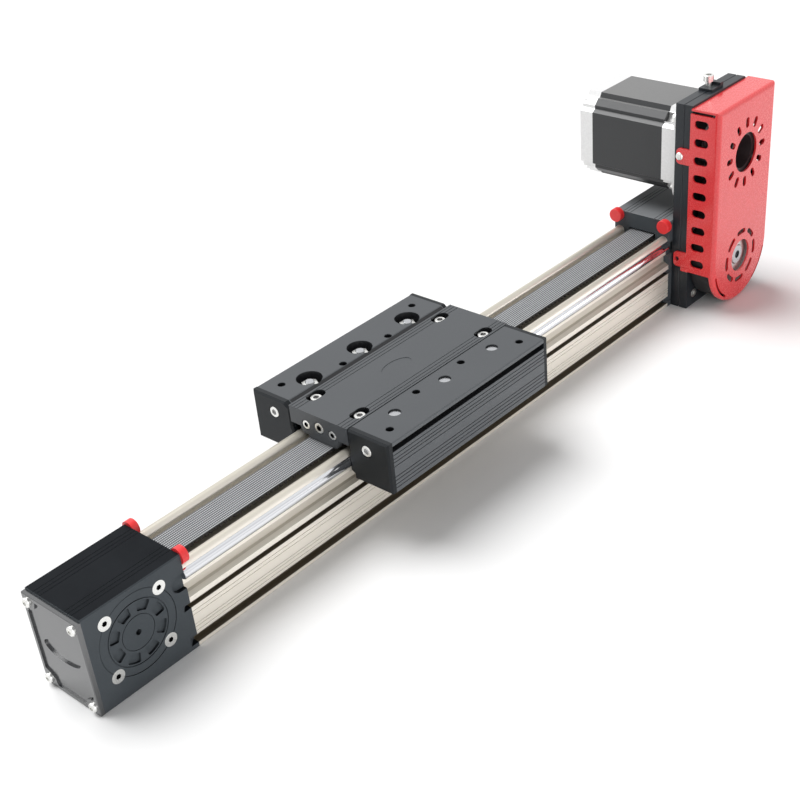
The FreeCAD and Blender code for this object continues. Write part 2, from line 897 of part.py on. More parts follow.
def make_main_belt():
    """Closed band round both pulleys, toothed along its straight top run."""
    y0 = -main_belt_width / 2
    r = main_inner_radius
    z = axis_height
    top = z + r
    count = int(profile_length / belt_pitch) - 1
    first = -belt_pitch * (count - 1) / 2
    path = [(idler_x, top)]
    for k in range(count):
        mid = first + belt_pitch * k
        path += [(mid - belt_tooth_base / 2, top), (mid - belt_tooth_tip / 2, top - belt_tooth),
                 (mid + belt_tooth_tip / 2, top - belt_tooth), (mid + belt_tooth_base / 2, top)]
    path.append((drive_x, top))
    edges = [line_edge(path[i], path[i + 1], y0) for i in range(len(path) - 1)]
    edges.append(arc_edge((drive_x, top), (drive_x + r, z), (drive_x, z - r), y0))
    edges.append(line_edge((drive_x, z - r), (idler_x, z - r), y0))
    edges.append(arc_edge((idler_x, z - r), (idler_x - r, z), (idler_x, top), y0))
    inner = Part.Face(Part.Wire(edges)).extrude(vec(0, main_belt_width, 0))
    q = main_outer_radius
    around = [line_edge((idler_x, z + q), (drive_x, z + q), y0),
              arc_edge((drive_x, z + q), (drive_x + q, z), (drive_x, z - q), y0),
              line_edge((drive_x, z - q), (idler_x, z - q), y0),
              arc_edge((idler_x, z - q), (idler_x - q, z), (idler_x, z + q), y0)]
    outer = Part.Face(Part.Wire(around)).extrude(vec(0, main_belt_width, 0))
    return cut(outer, [inner])


def open_loop(big, small, y0, width):
    """Solid bounded by a belt line round the driven and motor pulleys."""
    span = motor_z - axis_height
    lean = math.asin((big - small) / span)
    cx = drive_x
    lx = math.cos(lean)
    lz = math.sin(lean)
    low_right = (cx + big * lx, axis_height + big * lz)
    high_right = (cx + small * lx, motor_z + small * lz)
    low_left = (cx - big * lx, axis_height + big * lz)
    high_left = (cx - small * lx, motor_z + small * lz)
    edges = [line_edge(low_right, high_right, y0), arc_edge(high_right, (cx, motor_z + small), high_left,
                                                            y0),
             line_edge(high_left, low_left, y0), arc_edge(low_left, (cx, axis_height - big), low_right, y0)]
    return Part.Face(Part.Wire(edges)).extrude(vec(0, width, 0))


def make_side_belt():
    """Side belt, toothed on its two straight runs."""
    y0 = side_belt_front_y
    big = driven_inner_radius
    small = motor_inner_radius
    band = open_loop(big + belt_back, small + belt_back, y0, side_belt_width)
    band = cut(band, [open_loop(big, small, y0 - 1, side_belt_width + 2)])
    span = motor_z - axis_height
    lean = math.asin((big - small) / span)
    start = math.sqrt(2 * big * (belt_tooth + pulley_gap)) + belt_tooth_base
    end = span * math.cos(lean) - math.sqrt(2 * small * (belt_tooth + pulley_gap)) - belt_tooth_base
    count = int((end - start) / belt_pitch) + 1
    teeth = []
    for k in range(count):
        along = start + belt_pitch * k
        pts = [(-belt_tooth_base / 2, 0.1), (belt_tooth_base / 2, 0.1), (belt_tooth_tip / 2, -belt_tooth),
               (-belt_tooth_tip / 2, -belt_tooth)]
        for s in (-1, 1):
            world = []
            for t, n in pts:
                px = (big + n) * math.cos(lean) - (along + t) * math.sin(lean)
                pz = (big + n) * math.sin(lean) + (along + t) * math.cos(lean)
                world.append((drive_x + s * px, axis_height + pz))
            teeth.append(prism_y(world, y0, y0 + side_belt_width))
    return band.multiFuse(teeth)


# Idler and drive shafts

def make_main_pulley(x, shaft_radius, hub_radius, hub_end):
    half = main_pulley_width / 2
    disc = toothed_disc(x, axis_height, main_tip_radius, main_teeth, -half, half)
    hub = bar_y(hub_radius, -hub_end + hub_gap, hub_end - hub_gap, x, axis_height)
    body = join([disc, hub])
    return cut(body, [bar_y(shaft_radius + press_gap, -hub_end, hub_end, x, axis_height)])


def make_idler_shaft():
    end = bearing_floor_y - shaft_end_gap
    shaft = bar_y(idler_shaft_radius, -end, end, idler_x, axis_height)
    return shaft.makeChamfer(0.8, [e for e in shaft.Edges if e.Closed and e.BoundBox.YLength < 0.01])


def make_drive_shaft():
    """Through shaft that also carries the driven pulley."""
    shaft = bar_y(drive_shaft_radius, side_belt_front_y - side_flange, bearing_floor_y - shaft_end_gap,
                  drive_x, axis_height)
    shaft = shaft.makeChamfer(0.8, [e for e in shaft.Edges if e.Closed and e.BoundBox.YLength < 0.01])
    start = side_belt_front_y - side_flange - 1
    return cut(shaft, [bar_y(shaft_centre_radius, start, start + shaft_centre_depth + 1, drive_x,
                             axis_height)])


def make_driven_pulley():
    """Large side pulley with a dished web and a clamping hub."""
    y0 = side_belt_front_y
    y1 = side_belt_back_y
    tip = driven_inner_radius - pulley_gap
    disc = toothed_disc(drive_x, axis_height, tip, side_teeth_driven, y0, y1)
    mid = (y0 + y1) / 2
    tools = []
    for low, high in ((y0 - 1, mid - driven_web / 2), (mid + driven_web / 2, y1 + 1)):
        dish = bar_y(tip - driven_rim, low, high, drive_x, axis_height)
        tools.append(dish.cut(bar_y(driven_hub_radius, low, high, drive_x, axis_height)))
    tools.append(bar_y(drive_shaft_radius + press_gap, y0 - 1, y1 + 1, drive_x, axis_height))
    return cut(disc, tools)


def make_motor_pulley():
    """Small side pulley with thin flanges and a deep dish in its front."""
    y0 = side_belt_front_y
    y1 = side_belt_back_y
    tip = motor_inner_radius - pulley_gap
    disc = toothed_disc(drive_x, motor_z, tip, side_teeth_motor, y0, y1)
    rim = motor_inner_radius + side_flange_rise
    front = bar_y(rim, y0 - side_flange + 0.2, y0 - 0.2, drive_x, motor_z)
    back = bar_y(rim, y1 + 0.2, y1 + side_flange - 0.2, drive_x, motor_z)
    core = bar_y(tip - belt_tooth, y0 - side_flange + 0.2, y1 + side_flange - 0.2, drive_x, motor_z)
    body = join([disc, front, back, core])
    dish = bar_y(motor_pulley_dish_radius, y0 - 9, y0 + motor_pulley_dish_depth, drive_x, motor_z)
    return cut(body, [dish, bar_y(motor_shaft_radius + press_gap, y0 - 9, y1 + 9, drive_x, motor_z)])


# Motor plates

def plate_outline():
    return [(plate_left, 0), (plate_right, 0), (plate_right, plate_height - plate_corner),
            (plate_right - plate_corner, plate_height), (plate_left, plate_height)]


def motor_screw_spots():
    a = motor_screw_half
    return [(drive_x + s * a, motor_z + t * a) for s in (-1, 1) for t in (-1, 1)]


def guard_screw_z():
    return (tab_high_low + tab_high_top) / 2


def guard_screw_y():
    return plate_front_y + tab_reach - tab_hole_inset


def make_back_plate():
    plate = prism_y(plate_outline(), plate_mid_y, plate_back_y)
    plate = plate.makeChamfer(plate_seam, [e for e in plate.Edges if e.BoundBox.YMax < plate_mid_y + 0.01])
    tools = [bar_y(drive_shaft_radius + plate_shaft_gap, plate_mid_y - 1, plate_back_y + 1, drive_x,
                   axis_height)]
    tools.append(bar_y(motor_pilot_radius + thread_gap, plate_mid_y - 1, plate_back_y + 1, drive_x,
                       motor_z))
    for x, z in plate_screw_spots():
        tools.append(bar_y(plate_screw_radius + thread_gap, plate_mid_y - 1, plate_back_y + 1, x, z))
    for x, z in motor_screw_spots():
        tools.append(bar_y(motor_screw_radius + thread_gap, plate_mid_y - 1, plate_back_y + 1, x, z))
    tools.append(bar_z(tension_screw_radius + thread_gap, plate_height - tension_screw_depth - thread_end,
                       plate_height + 1, drive_x, tension_y()))
    grip = guard_screw_grip + 0.5
    tools.append(bar_x(guard_screw_radius + thread_gap, plate_left - 1, plate_left + grip, guard_screw_y(),
                       guard_screw_z()))
    tools.append(bar_x(guard_screw_radius + thread_gap, plate_right - grip, plate_right + 1,
                       guard_screw_y(), guard_screw_z()))
    return cut(plate, tools)


def make_front_plate():
    plate = prism_y(plate_outline(), plate_front_y, plate_mid_y)
    plate = plate.makeChamfer(plate_seam, [e for e in plate.Edges if e.BoundBox.YMin > plate_mid_y - 0.01])
    tools = [bar_y(drive_shaft_radius + plate_shaft_gap, plate_front_y - 1, plate_mid_y + 1, drive_x,
                   axis_height)]
    tools.append(bar_y(motor_pilot_radius + thread_gap, plate_front_y - 1, plate_mid_y + 1, drive_x,
                       motor_z))
    seat = plate_front_y + plate_screw_head_height + 0.3
    for x, z in plate_screw_spots():
        tools.append(bar_y(plate_screw_radius + thread_gap, plate_front_y - 1, plate_mid_y + 1, x, z))
        tools.append(bar_y(plate_screw_head + head_room, plate_front_y - 1, seat, x, z))
    deep = plate_back_y - motor_screw_grip - 0.5
    for x, z in motor_screw_spots():
        tools.append(bar_y(motor_screw_radius + thread_gap, deep, plate_mid_y + 1, x, z))
    return cut(plate, tools)


def make_plate_screws():
    seat = plate_front_y + plate_screw_head_height + 0.3
    length = -half_width + plate_screw_grip - seat
    screw = cap_screw(plate_screw_radius, plate_screw_head, plate_screw_head_height, length)
    return group([place(screw, vec(x, seat, z), vec(0, -1, 0)) for x, z in plate_screw_spots()])


def tension_y():
    return (plate_mid_y + plate_back_y) / 2


def make_tension_block():
    """Low bridge over the top edges of both plates with a bar at its +X side."""
    top = plate_height + tension_height
    front = plate_back_y - tension_depth
    right = drive_x + tension_half
    block = box(drive_x - tension_half, right, front, plate_back_y, plate_height, top)
    bar = box(right - tension_bar_width, right, front, plate_back_y, plate_height, top + tension_bar_rise)
    body = join([block, bar])
    return cut(body, [bar_z(tension_screw_radius + thread_gap, plate_height - 1, top + 1, drive_x,
                            tension_y())])


def make_tension_screw():
    under = plate_height + tension_height + tension_screw_stand
    length = tension_height + tension_screw_stand + tension_screw_depth
    screw = cap_screw(tension_screw_radius, tension_screw_head, tension_screw_head_height, length)
    return place(screw, vec(drive_x, tension_y(), under), vec(0, 0, 1))


# Motor

def motor_outline():
    """Body outline with stepped corners, about the motor axis."""
    corner = motor_corner
    pts = list(corner)
    pts += [(-x, z) for x, z in reversed(corner)]
    pts += [(-x, -z) for x, z in corner]
    pts += [(x, -z) for x, z in reversed(corner)]
    return [(drive_x + x, motor_z + z) for x, z in pts]


def front_bearing_y():
    return motor_stator_start - motor_bearing_width


def make_motor_front():
    """Silver square flange, pilot and stepped front part."""
    half = motor_size / 2
    flange = box(drive_x - half, drive_x + half, plate_back_y, motor_back_of_flange, motor_z - half,
                 motor_z + half)
    upright = [e for e in flange.Edges if e.BoundBox.YLength > motor_flange - 0.01]
    flange = flange.makeFillet(motor_flange_corner, upright)
    step = prism_y(motor_outline(), motor_back_of_flange - 0.5, motor_stator_start)
    pilot = bar_y(motor_pilot_radius, plate_back_y - motor_pilot_length, plate_back_y + 1, drive_x, motor_z)
    body = join([flange, step, pilot])
    tools = [bar_y(motor_shaft_radius + shaft_hole_gap, plate_back_y - 9, motor_end, drive_x, motor_z)]
    tools.append(bar_y(motor_bearing_radius, front_bearing_y(), motor_stator_start + 1, drive_x, motor_z))
    for x, z in motor_screw_spots():
        tools.append(bar_y(motor_screw_radius + thread_gap, plate_back_y - 1, motor_stator_start + 1, x, z))
        tools.append(bar_y(motor_screw_head + head_room, motor_back_of_flange, motor_stator_start + 1, x,
                           z))
    return cut(body, tools)


def make_motor_stator():
    body = prism_y(motor_outline(), motor_stator_start, motor_stator_end)
    return cut(body, [bar_y(motor_rotor_radius + motor_air_gap, motor_stator_start - 1,
                            motor_stator_end + 1,
                            drive_x, motor_z)])


def make_motor_bell():
    """Silver rear end of the motor with its bearing seat and tie holes."""
    body = prism_y(motor_outline(), motor_stator_end, motor_end)
    body = body.makeChamfer(1.0, [e for e in body.Edges if e.BoundBox.YMin > motor_end - 0.01])
    tools = [bar_y(motor_bearing_radius, motor_stator_end - 1, motor_stator_end + motor_bearing_width,
                   drive_x, motor_z)]
    tools.append(bar_y(motor_shaft_radius + shaft_hole_gap, motor_stator_end - 1,
                       motor_stator_end + motor_bearing_width + 1.5, drive_x, motor_z))
    a = motor_screw_half
    for sx in (-1, 1):
        for sz in (-1, 1):
            tools.append(bar_y(motor_tie_radius, motor_end - 4, motor_end + 1, drive_x + sx * a,
                               motor_z + sz * a))
    mid = (motor_stator_end + motor_end) / 2
    tools.append(bar_x(grommet_radius - 1.5, drive_x + motor_size / 2 - 6, drive_x + motor_size / 2 + 1,
                       mid, motor_z))
    return cut(body, tools)


def make_motor_screws():
    screw = cap_screw(motor_screw_radius, motor_screw_head, motor_screw_head_height,
                      motor_flange + motor_screw_grip)
    return group([place(screw, vec(x, motor_back_of_flange, z), vec(0, 1, 0)) for x,
                  z in motor_screw_spots()])


def make_motor_bearings():
    bore = motor_shaft_radius + bearing_fit
    outer = motor_bearing_radius - bearing_fit
    front = ring_bearing(drive_x, motor_z, bore, outer, front_bearing_y() + 0.02, motor_stator_start)
    rear = ring_bearing(drive_x, motor_z, bore, outer, motor_stator_end,
                        motor_stator_end + motor_bearing_width - 0.02)
    return group([front, rear])


def make_grommet():
    """Lead entry on the motor's far end, empty."""
    mid = (motor_stator_end + motor_end) / 2
    side = drive_x + motor_size / 2
    collar = bar_x(grommet_radius, side, side + grommet_length, mid, motor_z)
    neck = bar_x(grommet_radius - 1.55, side - 5.5, side + 1, mid, motor_z)
    body = join([collar, neck])
    return cut(body, [bar_x(grommet_bore, side - 9, side + grommet_length + 1, mid, motor_z)])


def make_rotor():
    """Rotor pack and the motor shaft that carries the small pulley."""
    pack = bar_y(motor_rotor_radius, motor_stator_start + motor_end_room, motor_stator_end - motor_end_room,
                 drive_x, motor_z)
    tip = side_belt_front_y + motor_pulley_dish_depth - motor_shaft_stand
    shaft = bar_y(motor_shaft_radius, tip, motor_stator_end + motor_bearing_width + 0.5, drive_x, motor_z)
    return join([pack, shaft])


# Red belt cover

def guard_block(inset, front, back):
    """Solid of the cover's outline: straight sides and a round foot."""
    r = cover_width / 2 - inset
    x0 = drive_x - r
    x1 = drive_x + r
    top = cover_top - inset
    z = guard_round_z
    a = (x1, z)
    b = (x1, top)
    c = (x0, top)
    d = (x0, z)
    edges = [line_edge(a, b, front), line_edge(b, c, front), line_edge(c, d, front),
             arc_edge(d, (drive_x, z - r), a, front)]
    return Part.Face(Part.Wire(edges)).extrude(vec(0, back - front, 0))


def front_edges(shape, y):
    return [e for e in shape.Edges if e.BoundBox.YMax < y + 0.01]


def guard_slots():
    tools = []
    half = (cover_slot_long - cover_slot_high) / 2
    for k in range(cover_slot_count):
        z = cover_slot_first + cover_slot_pitch * k
        r = cover_slot_high / 2
        y = -cover_slot_y
        x0 = guard_left - 1
        x1 = guard_right + 1
        tools.append(join([bar_x(r, x0, x1, y - half, z), bar_x(r, x0, x1, y + half, z),
                           box(x0, x1, y - half, y + half, z - r, z + r)]))
    return tools


def guard_face_holes():
    y0 = guard_face_y - 1
    y1 = guard_face_y + cover_sheet + 1
    tools = [bar_y(motor_hole_radius, y0, y1, drive_x, motor_z),
             bar_y(drive_hole_radius, y0, y1, drive_x, axis_height)]
    for k in range(motor_slot_count):
        angle = 360.0 * k / motor_slot_count
        long = motor_slot_long
        wide = motor_slot_wide
        half = (long - wide) / 2
        slot = join([bar_y(wide / 2, y0, y1, motor_slot_ring - half, 0),
                     bar_y(wide / 2, y0, y1, motor_slot_ring + half, 0),
                     box(motor_slot_ring - half, motor_slot_ring + half, y0, y1, -wide / 2, wide / 2)])
        slot.Placement = FreeCAD.Placement(vec(drive_x, 0, motor_z), FreeCAD.Rotation(vec(0, -1, 0), angle))
        tools.append(slot)
    spread = math.degrees((drive_arc_long - drive_arc_wide) / drive_arc_ring)
    for k in range(drive_arc_count):
        angle = 360.0 * k / drive_arc_count
        tools.append(arc_slot(drive_arc_ring, drive_arc_wide, angle - spread / 2, angle + spread / 2, y0,
                              y1,
                              axis_height))
    return tools


def arc_slot(ring, wide, start, end, y0, y1, z):
    """Curved slot tool round the drive side's middle, with round ends."""
    body = ring_sector(drive_x, z, ring - wide / 2, ring + wide / 2, start, end, y0, y1)
    ends = []
    for angle in (start, end):
        t = math.radians(angle)
        ends.append(bar_y(wide / 2, y0, y1, drive_x + ring * math.cos(t), z + ring * math.sin(t)))
    return join([body] + ends)


def guard_tab(x0, z0, z1, reach):
    """Flat tab that runs back from the side flange along the plates."""
    tab = box(x0, x0 + cover_sheet, plate_front_y - 1, plate_front_y + reach, z0, z1)
    end = plate_front_y + reach - 0.01
    corners = [e for e in tab.Edges if e.BoundBox.YMin > end and e.BoundBox.XLength > 1]
    return tab.makeFillet(tab_corner, corners)


def make_belt_cover():
    """Folded sheet cover over the side belt."""
    face = guard_face_y
    back = plate_front_y + 1
    shell = guard_block(0, face, back)
    shell = shell.makeFillet(cover_bend, front_edges(shell, face))
    core = guard_block(cover_sheet, face + cover_sheet, back + 1)
    core = core.makeFillet(cover_bend - cover_sheet, front_edges(core, face + cover_sheet))
    low = guard_round_z - cover_width / 2
    tools = [core]
    tools.append(box(guard_left - 1, guard_right + 1, face + cover_rim_depth, back + 1, low - 1,
                     cover_flange_bottom))
    relief_top = cover_top - cover_sheet
    tools.append(box(guard_left - 1, guard_left + cover_sheet, face + cover_bend + 1, back + 1,
                     relief_top - cover_relief, relief_top))
    tools.append(box(guard_right - cover_sheet, guard_right + 1, face + cover_bend + 1, back + 1,
                     relief_top - cover_relief, relief_top))
    tools.append(box(guard_left - 1, guard_right + 1, plate_front_y, back + 1, relief_top - cover_relief,
                     cover_top + 1))
    tools.append(box(guard_left + cover_sheet, guard_right - cover_sheet, plate_front_y, back + 1,
                     low - 1, guard_round_z))
    body = cut(shell, tools)
    tabs = []
    for x0 in (guard_left, guard_right - cover_sheet):
        tabs.append(guard_tab(x0, tab_high_low, tab_high_top, tab_reach))
        tabs.append(guard_tab(x0, tab_low_low, tab_low_top, tab_reach))
        tabs.append(box(x0, x0 + cover_sheet, plate_front_y - 1, plate_front_y + tongue_reach,
                        cover_flange_bottom, cover_flange_bottom + tab_corner))
    body = join([body] + tabs)
    tools = guard_slots() + guard_face_holes()
    for z in (guard_screw_z(), (tab_low_low + tab_low_top) / 2):
        tools.append(bar_x(tab_hole_radius, guard_left - 1, guard_right + 1, guard_screw_y(), z))
    ring = (rim_slit_outer + rim_slit_inner) / 2
    wide = rim_slit_outer - rim_slit_inner
    start = 180 + math.degrees(math.asin((guard_round_z - cover_flange_bottom + wide) / ring))
    for turn in (0, 1):
        slit = arc_slot(ring, wide, start, rim_slit_end, face - 1, face + cover_sheet + 0.5, guard_round_z)
        tools.append(flip_x(slit, drive_x) if turn else slit)
    return cut(body, tools)


def make_guard_screws():
    screw = button_screw(guard_screw_radius, guard_screw_head, guard_screw_head_height,
                         cover_sheet + guard_screw_grip)
    y = guard_screw_y()
    z = guard_screw_z()
    return group([place(screw, vec(guard_left, y, z), vec(-1, 0, 0)),
                  place(screw, vec(guard_right, y, z), vec(1, 0, 0))])


# Carriage, made about its own centre and moved to its rest place

def at_rest(shape):
    moved = shape.copy()
    moved.translate(vec(carriage_x, 0, 0))
    return moved


def clamp_start():
    return carriage_half - nose_length - clamp_length


def front_screw_spots():
    return [(0.0, clamp_screw_z, clamp_screw_radius, clamp_screw_head, clamp_screw_head_height),
            (tension_pair_y, tension_pair_z, tension_pair_radius, tension_pair_head,
             tension_pair_head_height),
            (-tension_pair_y, tension_pair_z, tension_pair_radius, tension_pair_head,
             tension_pair_head_height)]


def make_carriage_plate():
    top = carriage_top
    side = plate_half - joint_gap
    ledge = plate_bottom + tongue_height + joint_gap
    keel = tongue_inner - joint_gap
    outline = [(-side, top), (-side, ledge), (-keel, ledge), (-keel, plate_bottom), (keel, plate_bottom),
               (keel, ledge), (side, ledge), (side, top)]
    plate = prism_x(outline, -carriage_half, carriage_half)
    noses = []
    for s in (-1, 1):
        x0 = min(s * carriage_half, s * (carriage_half - nose_length))
        noses.append(box(x0, x0 + nose_length, -nose_half, nose_half, nose_bottom, plate_bottom + 1))
    plate = join([plate] + noses)
    tools = []
    for s in (-1, 1):
        x0 = min(s * clamp_start(), s * (clamp_start() + clamp_length))
        tools.append(box(x0, x0 + clamp_length, -clamp_half - clamp_room, clamp_half + clamp_room,
                         plate_bottom - 1, clamp_top + clamp_room))
        for y in plate_lines:
            tools.append(box(-carriage_half - 1, carriage_half + 1, s * y - plate_line_width / 2,
                             s * y + plate_line_width / 2, top - plate_line_depth, top + 1))
        for y, z, radius, head, height in front_screw_spots():
            a = s * (carriage_half + 1)
            b = s * (clamp_start() + clamp_length - 1)
            tools.append(bar_x(radius + thread_gap, min(a, b), max(a, b), y, z))
            c = s * (carriage_half - height - 0.4)
            tools.append(bar_x(head + head_room, min(a, c), max(a, c), y, z))
        for t in (-1, 1):
            tools.append(stadium_z(s * oblong_x, t * oblong_y, oblong_long, oblong_wide, top - oblong_depth,
                                   top + 1))
            tools.append(bar_z(joint_screw_radius + thread_gap, ledge - 1, top, s * oblong_x, t * oblong_y))
    oval = ellipse_plate(oval_long, oval_wide, oval_depth + 1)
    oval.translate(vec(oval_x, 0, top - oval_depth))
    tools.append(oval)
    tools.append(box(-carriage_half - 1, -carriage_half + nose_notch / 2, nose_half - nose_notch,
                     nose_half + 1,
                     nose_bottom - 1, nose_bottom + nose_notch / 2))
    return at_rest(cut(plate, tools))


def inner_chamfer(side):
    """Width and depth of a block's bevel beside the plate; the near one is fine."""
    if side < 0:
        return near_chamfer_side, near_chamfer_top
    return block_chamfer_side, block_chamfer_top


def block_outline(side):
    """Section of a side block, y outward from the middle of the axis."""
    wide, deep = inner_chamfer(side)
    w = carriage_half_width
    top = carriage_top
    pts = [(plate_half, top - deep), (plate_half + wide, top), (w - 0.8, top), (w, top - 0.8)]
    pts += [(w, side_slot_high), (w - side_slot_depth, side_slot_high),
            (w - side_slot_depth, side_slot_low), (w, side_slot_low)]
    for z in rib_heights:
        low = z - rib_width / 2
        high = z + rib_width / 2
        pts += [(w, high), (w - rib_depth, high), (w - rib_depth, low), (w, low)]
    pts += [(w, carriage_bottom), (floor_inner, carriage_bottom), (floor_inner, cavity_low),
            (cavity_outer, cavity_low)]
    pts += [(cavity_outer, cavity_high), (plate_half, cavity_high), (plate_half, plate_bottom),
            (tongue_inner, plate_bottom)]
    pts += [(tongue_inner, plate_bottom + tongue_height), (plate_half, plate_bottom + tongue_height)]
    return pts


def make_side_block(side, eccentric):
    """Roller carrier beside the rod; the far one has nut recesses."""
    block = prism_x([(side * y, z) for y, z in block_outline(side)], -block_half, block_half)
    bosses = []
    tools = []
    top = carriage_top
    y = side * axle_y
    for x in roller_offsets:
        bosses.append(bar_z(axle_boss_radius, cavity_low - 0.5, roller_low - roller_side_gap, x, y))
        bosses.append(bar_z(axle_boss_radius, roller_high + roller_side_gap, cavity_high + 0.5, x, y))
        tools.append(bar_z(roller_bore + press_gap, carriage_bottom - 1, cavity_high + 1, x, y))
        if eccentric:
            off = y + side * eccentricity
            tools.append(bar_z(nut_recess_radius, top - nut_recess_depth, top + 1, x, off))
            tools.append(bar_z(eccentric_bush_radius + press_gap, cavity_high, top, x, off))
        else:
            tools.append(bar_z(roller_bore + press_gap, cavity_high, top + 1, x, y))
    for s in (-1, 1):
        for mx, my in ((mount_outer_x, mount_outer_y), (mount_inner_x, mount_inner_y)):
            tools.append(bar_z(mount_hole_radius, top - mount_hole_depth, top + 1, s * mx, side * my))
            tools.append(Part.makeCone(mount_hole_radius, mount_hole_radius + mount_hole_chamfer,
                                       mount_hole_chamfer,
                                       vec(s * mx, side * my, top - mount_hole_chamfer), vec(0, 0, 1)))
        tools.append(bar_z(joint_screw_radius + thread_gap, plate_bottom - 1,
                           plate_bottom + tongue_height + 1,
                           s * oblong_x, side * oblong_y))
        a = s * (block_half + 1)
        b = s * (block_half - tank_screw_grip - 0.5)
        tools.append(bar_x(tank_screw_radius + thread_gap, min(a, b), max(a, b), side * tank_screw_y,
                           tank_screw_z))
    block = join([block] + bosses)
    return at_rest(cut(block, tools))


def felt_span():
    return (tank_inner + 0.4, tank_inner + 0.4 + felt_width)


def make_tank_pair(side):
    """Lubricator caps at both ends of one side block."""
    w = carriage_half_width
    top = carriage_top
    wide, deep = inner_chamfer(side)
    outline = [(plate_half, top - deep), (plate_half + wide, top), (w, top), (w, carriage_bottom),
               (floor_inner, carriage_bottom), (floor_inner, tank_nose_low - 2),
               (tank_inner, tank_nose_low), (tank_inner, tank_nose_high),
               (plate_half, tank_nose_high + 2)]
    cap = prism_x([(side * y, z) for y, z in outline], block_half, carriage_half)
    cap = cap.makeChamfer(tank_bevel, [e for e in cap.Edges if e.BoundBox.XMin > carriage_half - 0.01])
    y0, y1 = felt_span()
    low = rod_z_pos - felt_height / 2 - felt_gap
    high = rod_z_pos + felt_height / 2 + felt_gap
    tools = [bar_x(rod_radius + tank_rod_gap, block_half - 1, carriage_half + 1, side * rod_y_pos,
                   rod_z_pos)]
    tools.append(bar_x(bead_radius + tank_rod_gap, block_half - 1, carriage_half + 1, side * bead_y,
                       bead_z))
    tools.append(box(block_half - 1, block_half + felt_thickness + felt_gap,
                     min(side * (y0 - 2), side * (y1 + felt_gap)),
                     max(side * (y0 - 2), side * (y1 + felt_gap)), low, high))
    seat = carriage_half - tank_screw_head_height
    tools.append(bar_x(tank_screw_radius + thread_gap, block_half - 1, carriage_half + 1,
                       side * tank_screw_y, tank_screw_z))
    tools.append(bar_x(tank_screw_head + head_room, seat, carriage_half + 1, side * tank_screw_y,
                       tank_screw_z))
    cap = cut(cap, tools)
    return group([at_rest(cap), at_rest(flip_x(cap))])


def make_tank_screws():
    screw = cap_screw(tank_screw_radius, tank_screw_head, tank_screw_head_height,
                      tank_thickness - tank_screw_head_height + tank_screw_grip)
    seat = carriage_half - tank_screw_head_height
    screws = []
    for s in (-1, 1):
        for side in (-1, 1):
            screws.append(at_rest(place(screw, vec(s * seat, side * tank_screw_y, tank_screw_z),
                                        vec(s, 0, 0))))
    return group(screws)


def make_felts():
    """Oiling felts that reach almost to the rods."""
    y0, y1 = felt_span()
    low = rod_z_pos - felt_height / 2
    high = rod_z_pos + felt_height / 2
    felts = []
    for side in (-1, 1):
        pad = box(block_half, block_half + felt_thickness, min(side * y0, side * y1),
                  max(side * y0, side * y1), low, high)
        near_rod = bar_x(rod_radius + roller_rod_gap, block_half - 1, carriage_half, side * rod_y_pos,
                         rod_z_pos)
        pad = cut(pad, [near_rod])
        felts.append(at_rest(pad))
        felts.append(at_rest(flip_x(pad)))
    return group(felts)


def make_fixed_axles():
    axles = []
    top = carriage_top - axle_below_top
    for x in roller_offsets:
        axle = bar_z(roller_bore, carriage_bottom + axle_bottom_gap, top, x, -axle_y)
        axle = axle.makeChamfer(axle_edge, [e for e in axle.Edges if e.BoundBox.ZMin > top - 0.01])
        axles.append(at_rest(axle))
    return group(axles)


def make_eccentric_axles():
    axles = []
    floor = carriage_top - nut_recess_depth
    off = axle_y + eccentricity
    for x in roller_offsets:
        pin = bar_z(roller_bore, carriage_bottom + axle_bottom_gap, cavity_high + 0.5, x, axle_y)
        bush = bar_z(eccentric_bush_radius, cavity_high, floor, x, off)
        stud = bar_z(nut_stud_radius, floor - 1, floor + nut_height + nut_stud_rise, x, off)
        stud = stud.makeChamfer(axle_edge, [e for e in stud.Edges if e.BoundBox.ZMin > floor + nut_height])
        axles.append(at_rest(join([pin, bush, stud])))
    return group(axles)


def make_axle_nuts():
    nuts = []
    floor = carriage_top - nut_recess_depth
    for x in roller_offsets:
        nut = hexagon(nut_flat, floor, floor + nut_height)
        nut.translate(vec(x, axle_y + eccentricity, 0))
        nuts.append(at_rest(cut(nut, [bar_z(nut_stud_radius + thread_gap, floor - 1, floor + nut_height + 1,
                                            x, axle_y + eccentricity)])))
    return group(nuts)


def make_joint_screws():
    seat = carriage_top - oblong_depth
    length = seat - plate_bottom - 0.5
    screw = cap_screw(joint_screw_radius, joint_screw_head, joint_screw_head_height, length)
    return group([at_rest(place(screw, vec(s * oblong_x, t * oblong_y, seat), vec(0, 0, 1)))
                  for s in (-1, 1) for t in (-1, 1)])


def belt_end_low():
    return plate_bottom + clamp_slot_rise


def make_belt_clamps():
    """Clamp blocks that grip the belt ends below the carriage plate."""
    x0 = clamp_start() + clamp_room
    x1 = clamp_start() + clamp_length - clamp_room
    block = box(x0, x1, -clamp_half, clamp_half, plate_bottom + clamp_room, clamp_top)
    low = belt_end_low()
    tools = [box(x0 - 1, x1 - 4, -main_belt_width / 2 - 0.1, main_belt_width / 2 + 0.1, low,
                 low + belt_back + belt_tooth)]
    for y, z, radius, head, height in front_screw_spots():
        tools.append(bar_x(radius + thread_gap, x1 - clamp_screw_grip, x1 + 1, y, z))
    block = cut(block, tools)
    return group([at_rest(block), at_rest(flip_x(block))])


def make_belt_ends():
    x0 = clamp_start() - 1.5
    x1 = clamp_start() + clamp_length - clamp_room - 4.2
    low = belt_end_low()
    strip = box(x0, x1, -main_belt_width / 2, main_belt_width / 2, low, low + belt_back + belt_tooth)
    shift = box(x0 - 1, clamp_start(), -30, 30, low - 9, low + 9)
    strip = cut(strip, [shift])
    return group([at_rest(strip), at_rest(flip_x(strip))])


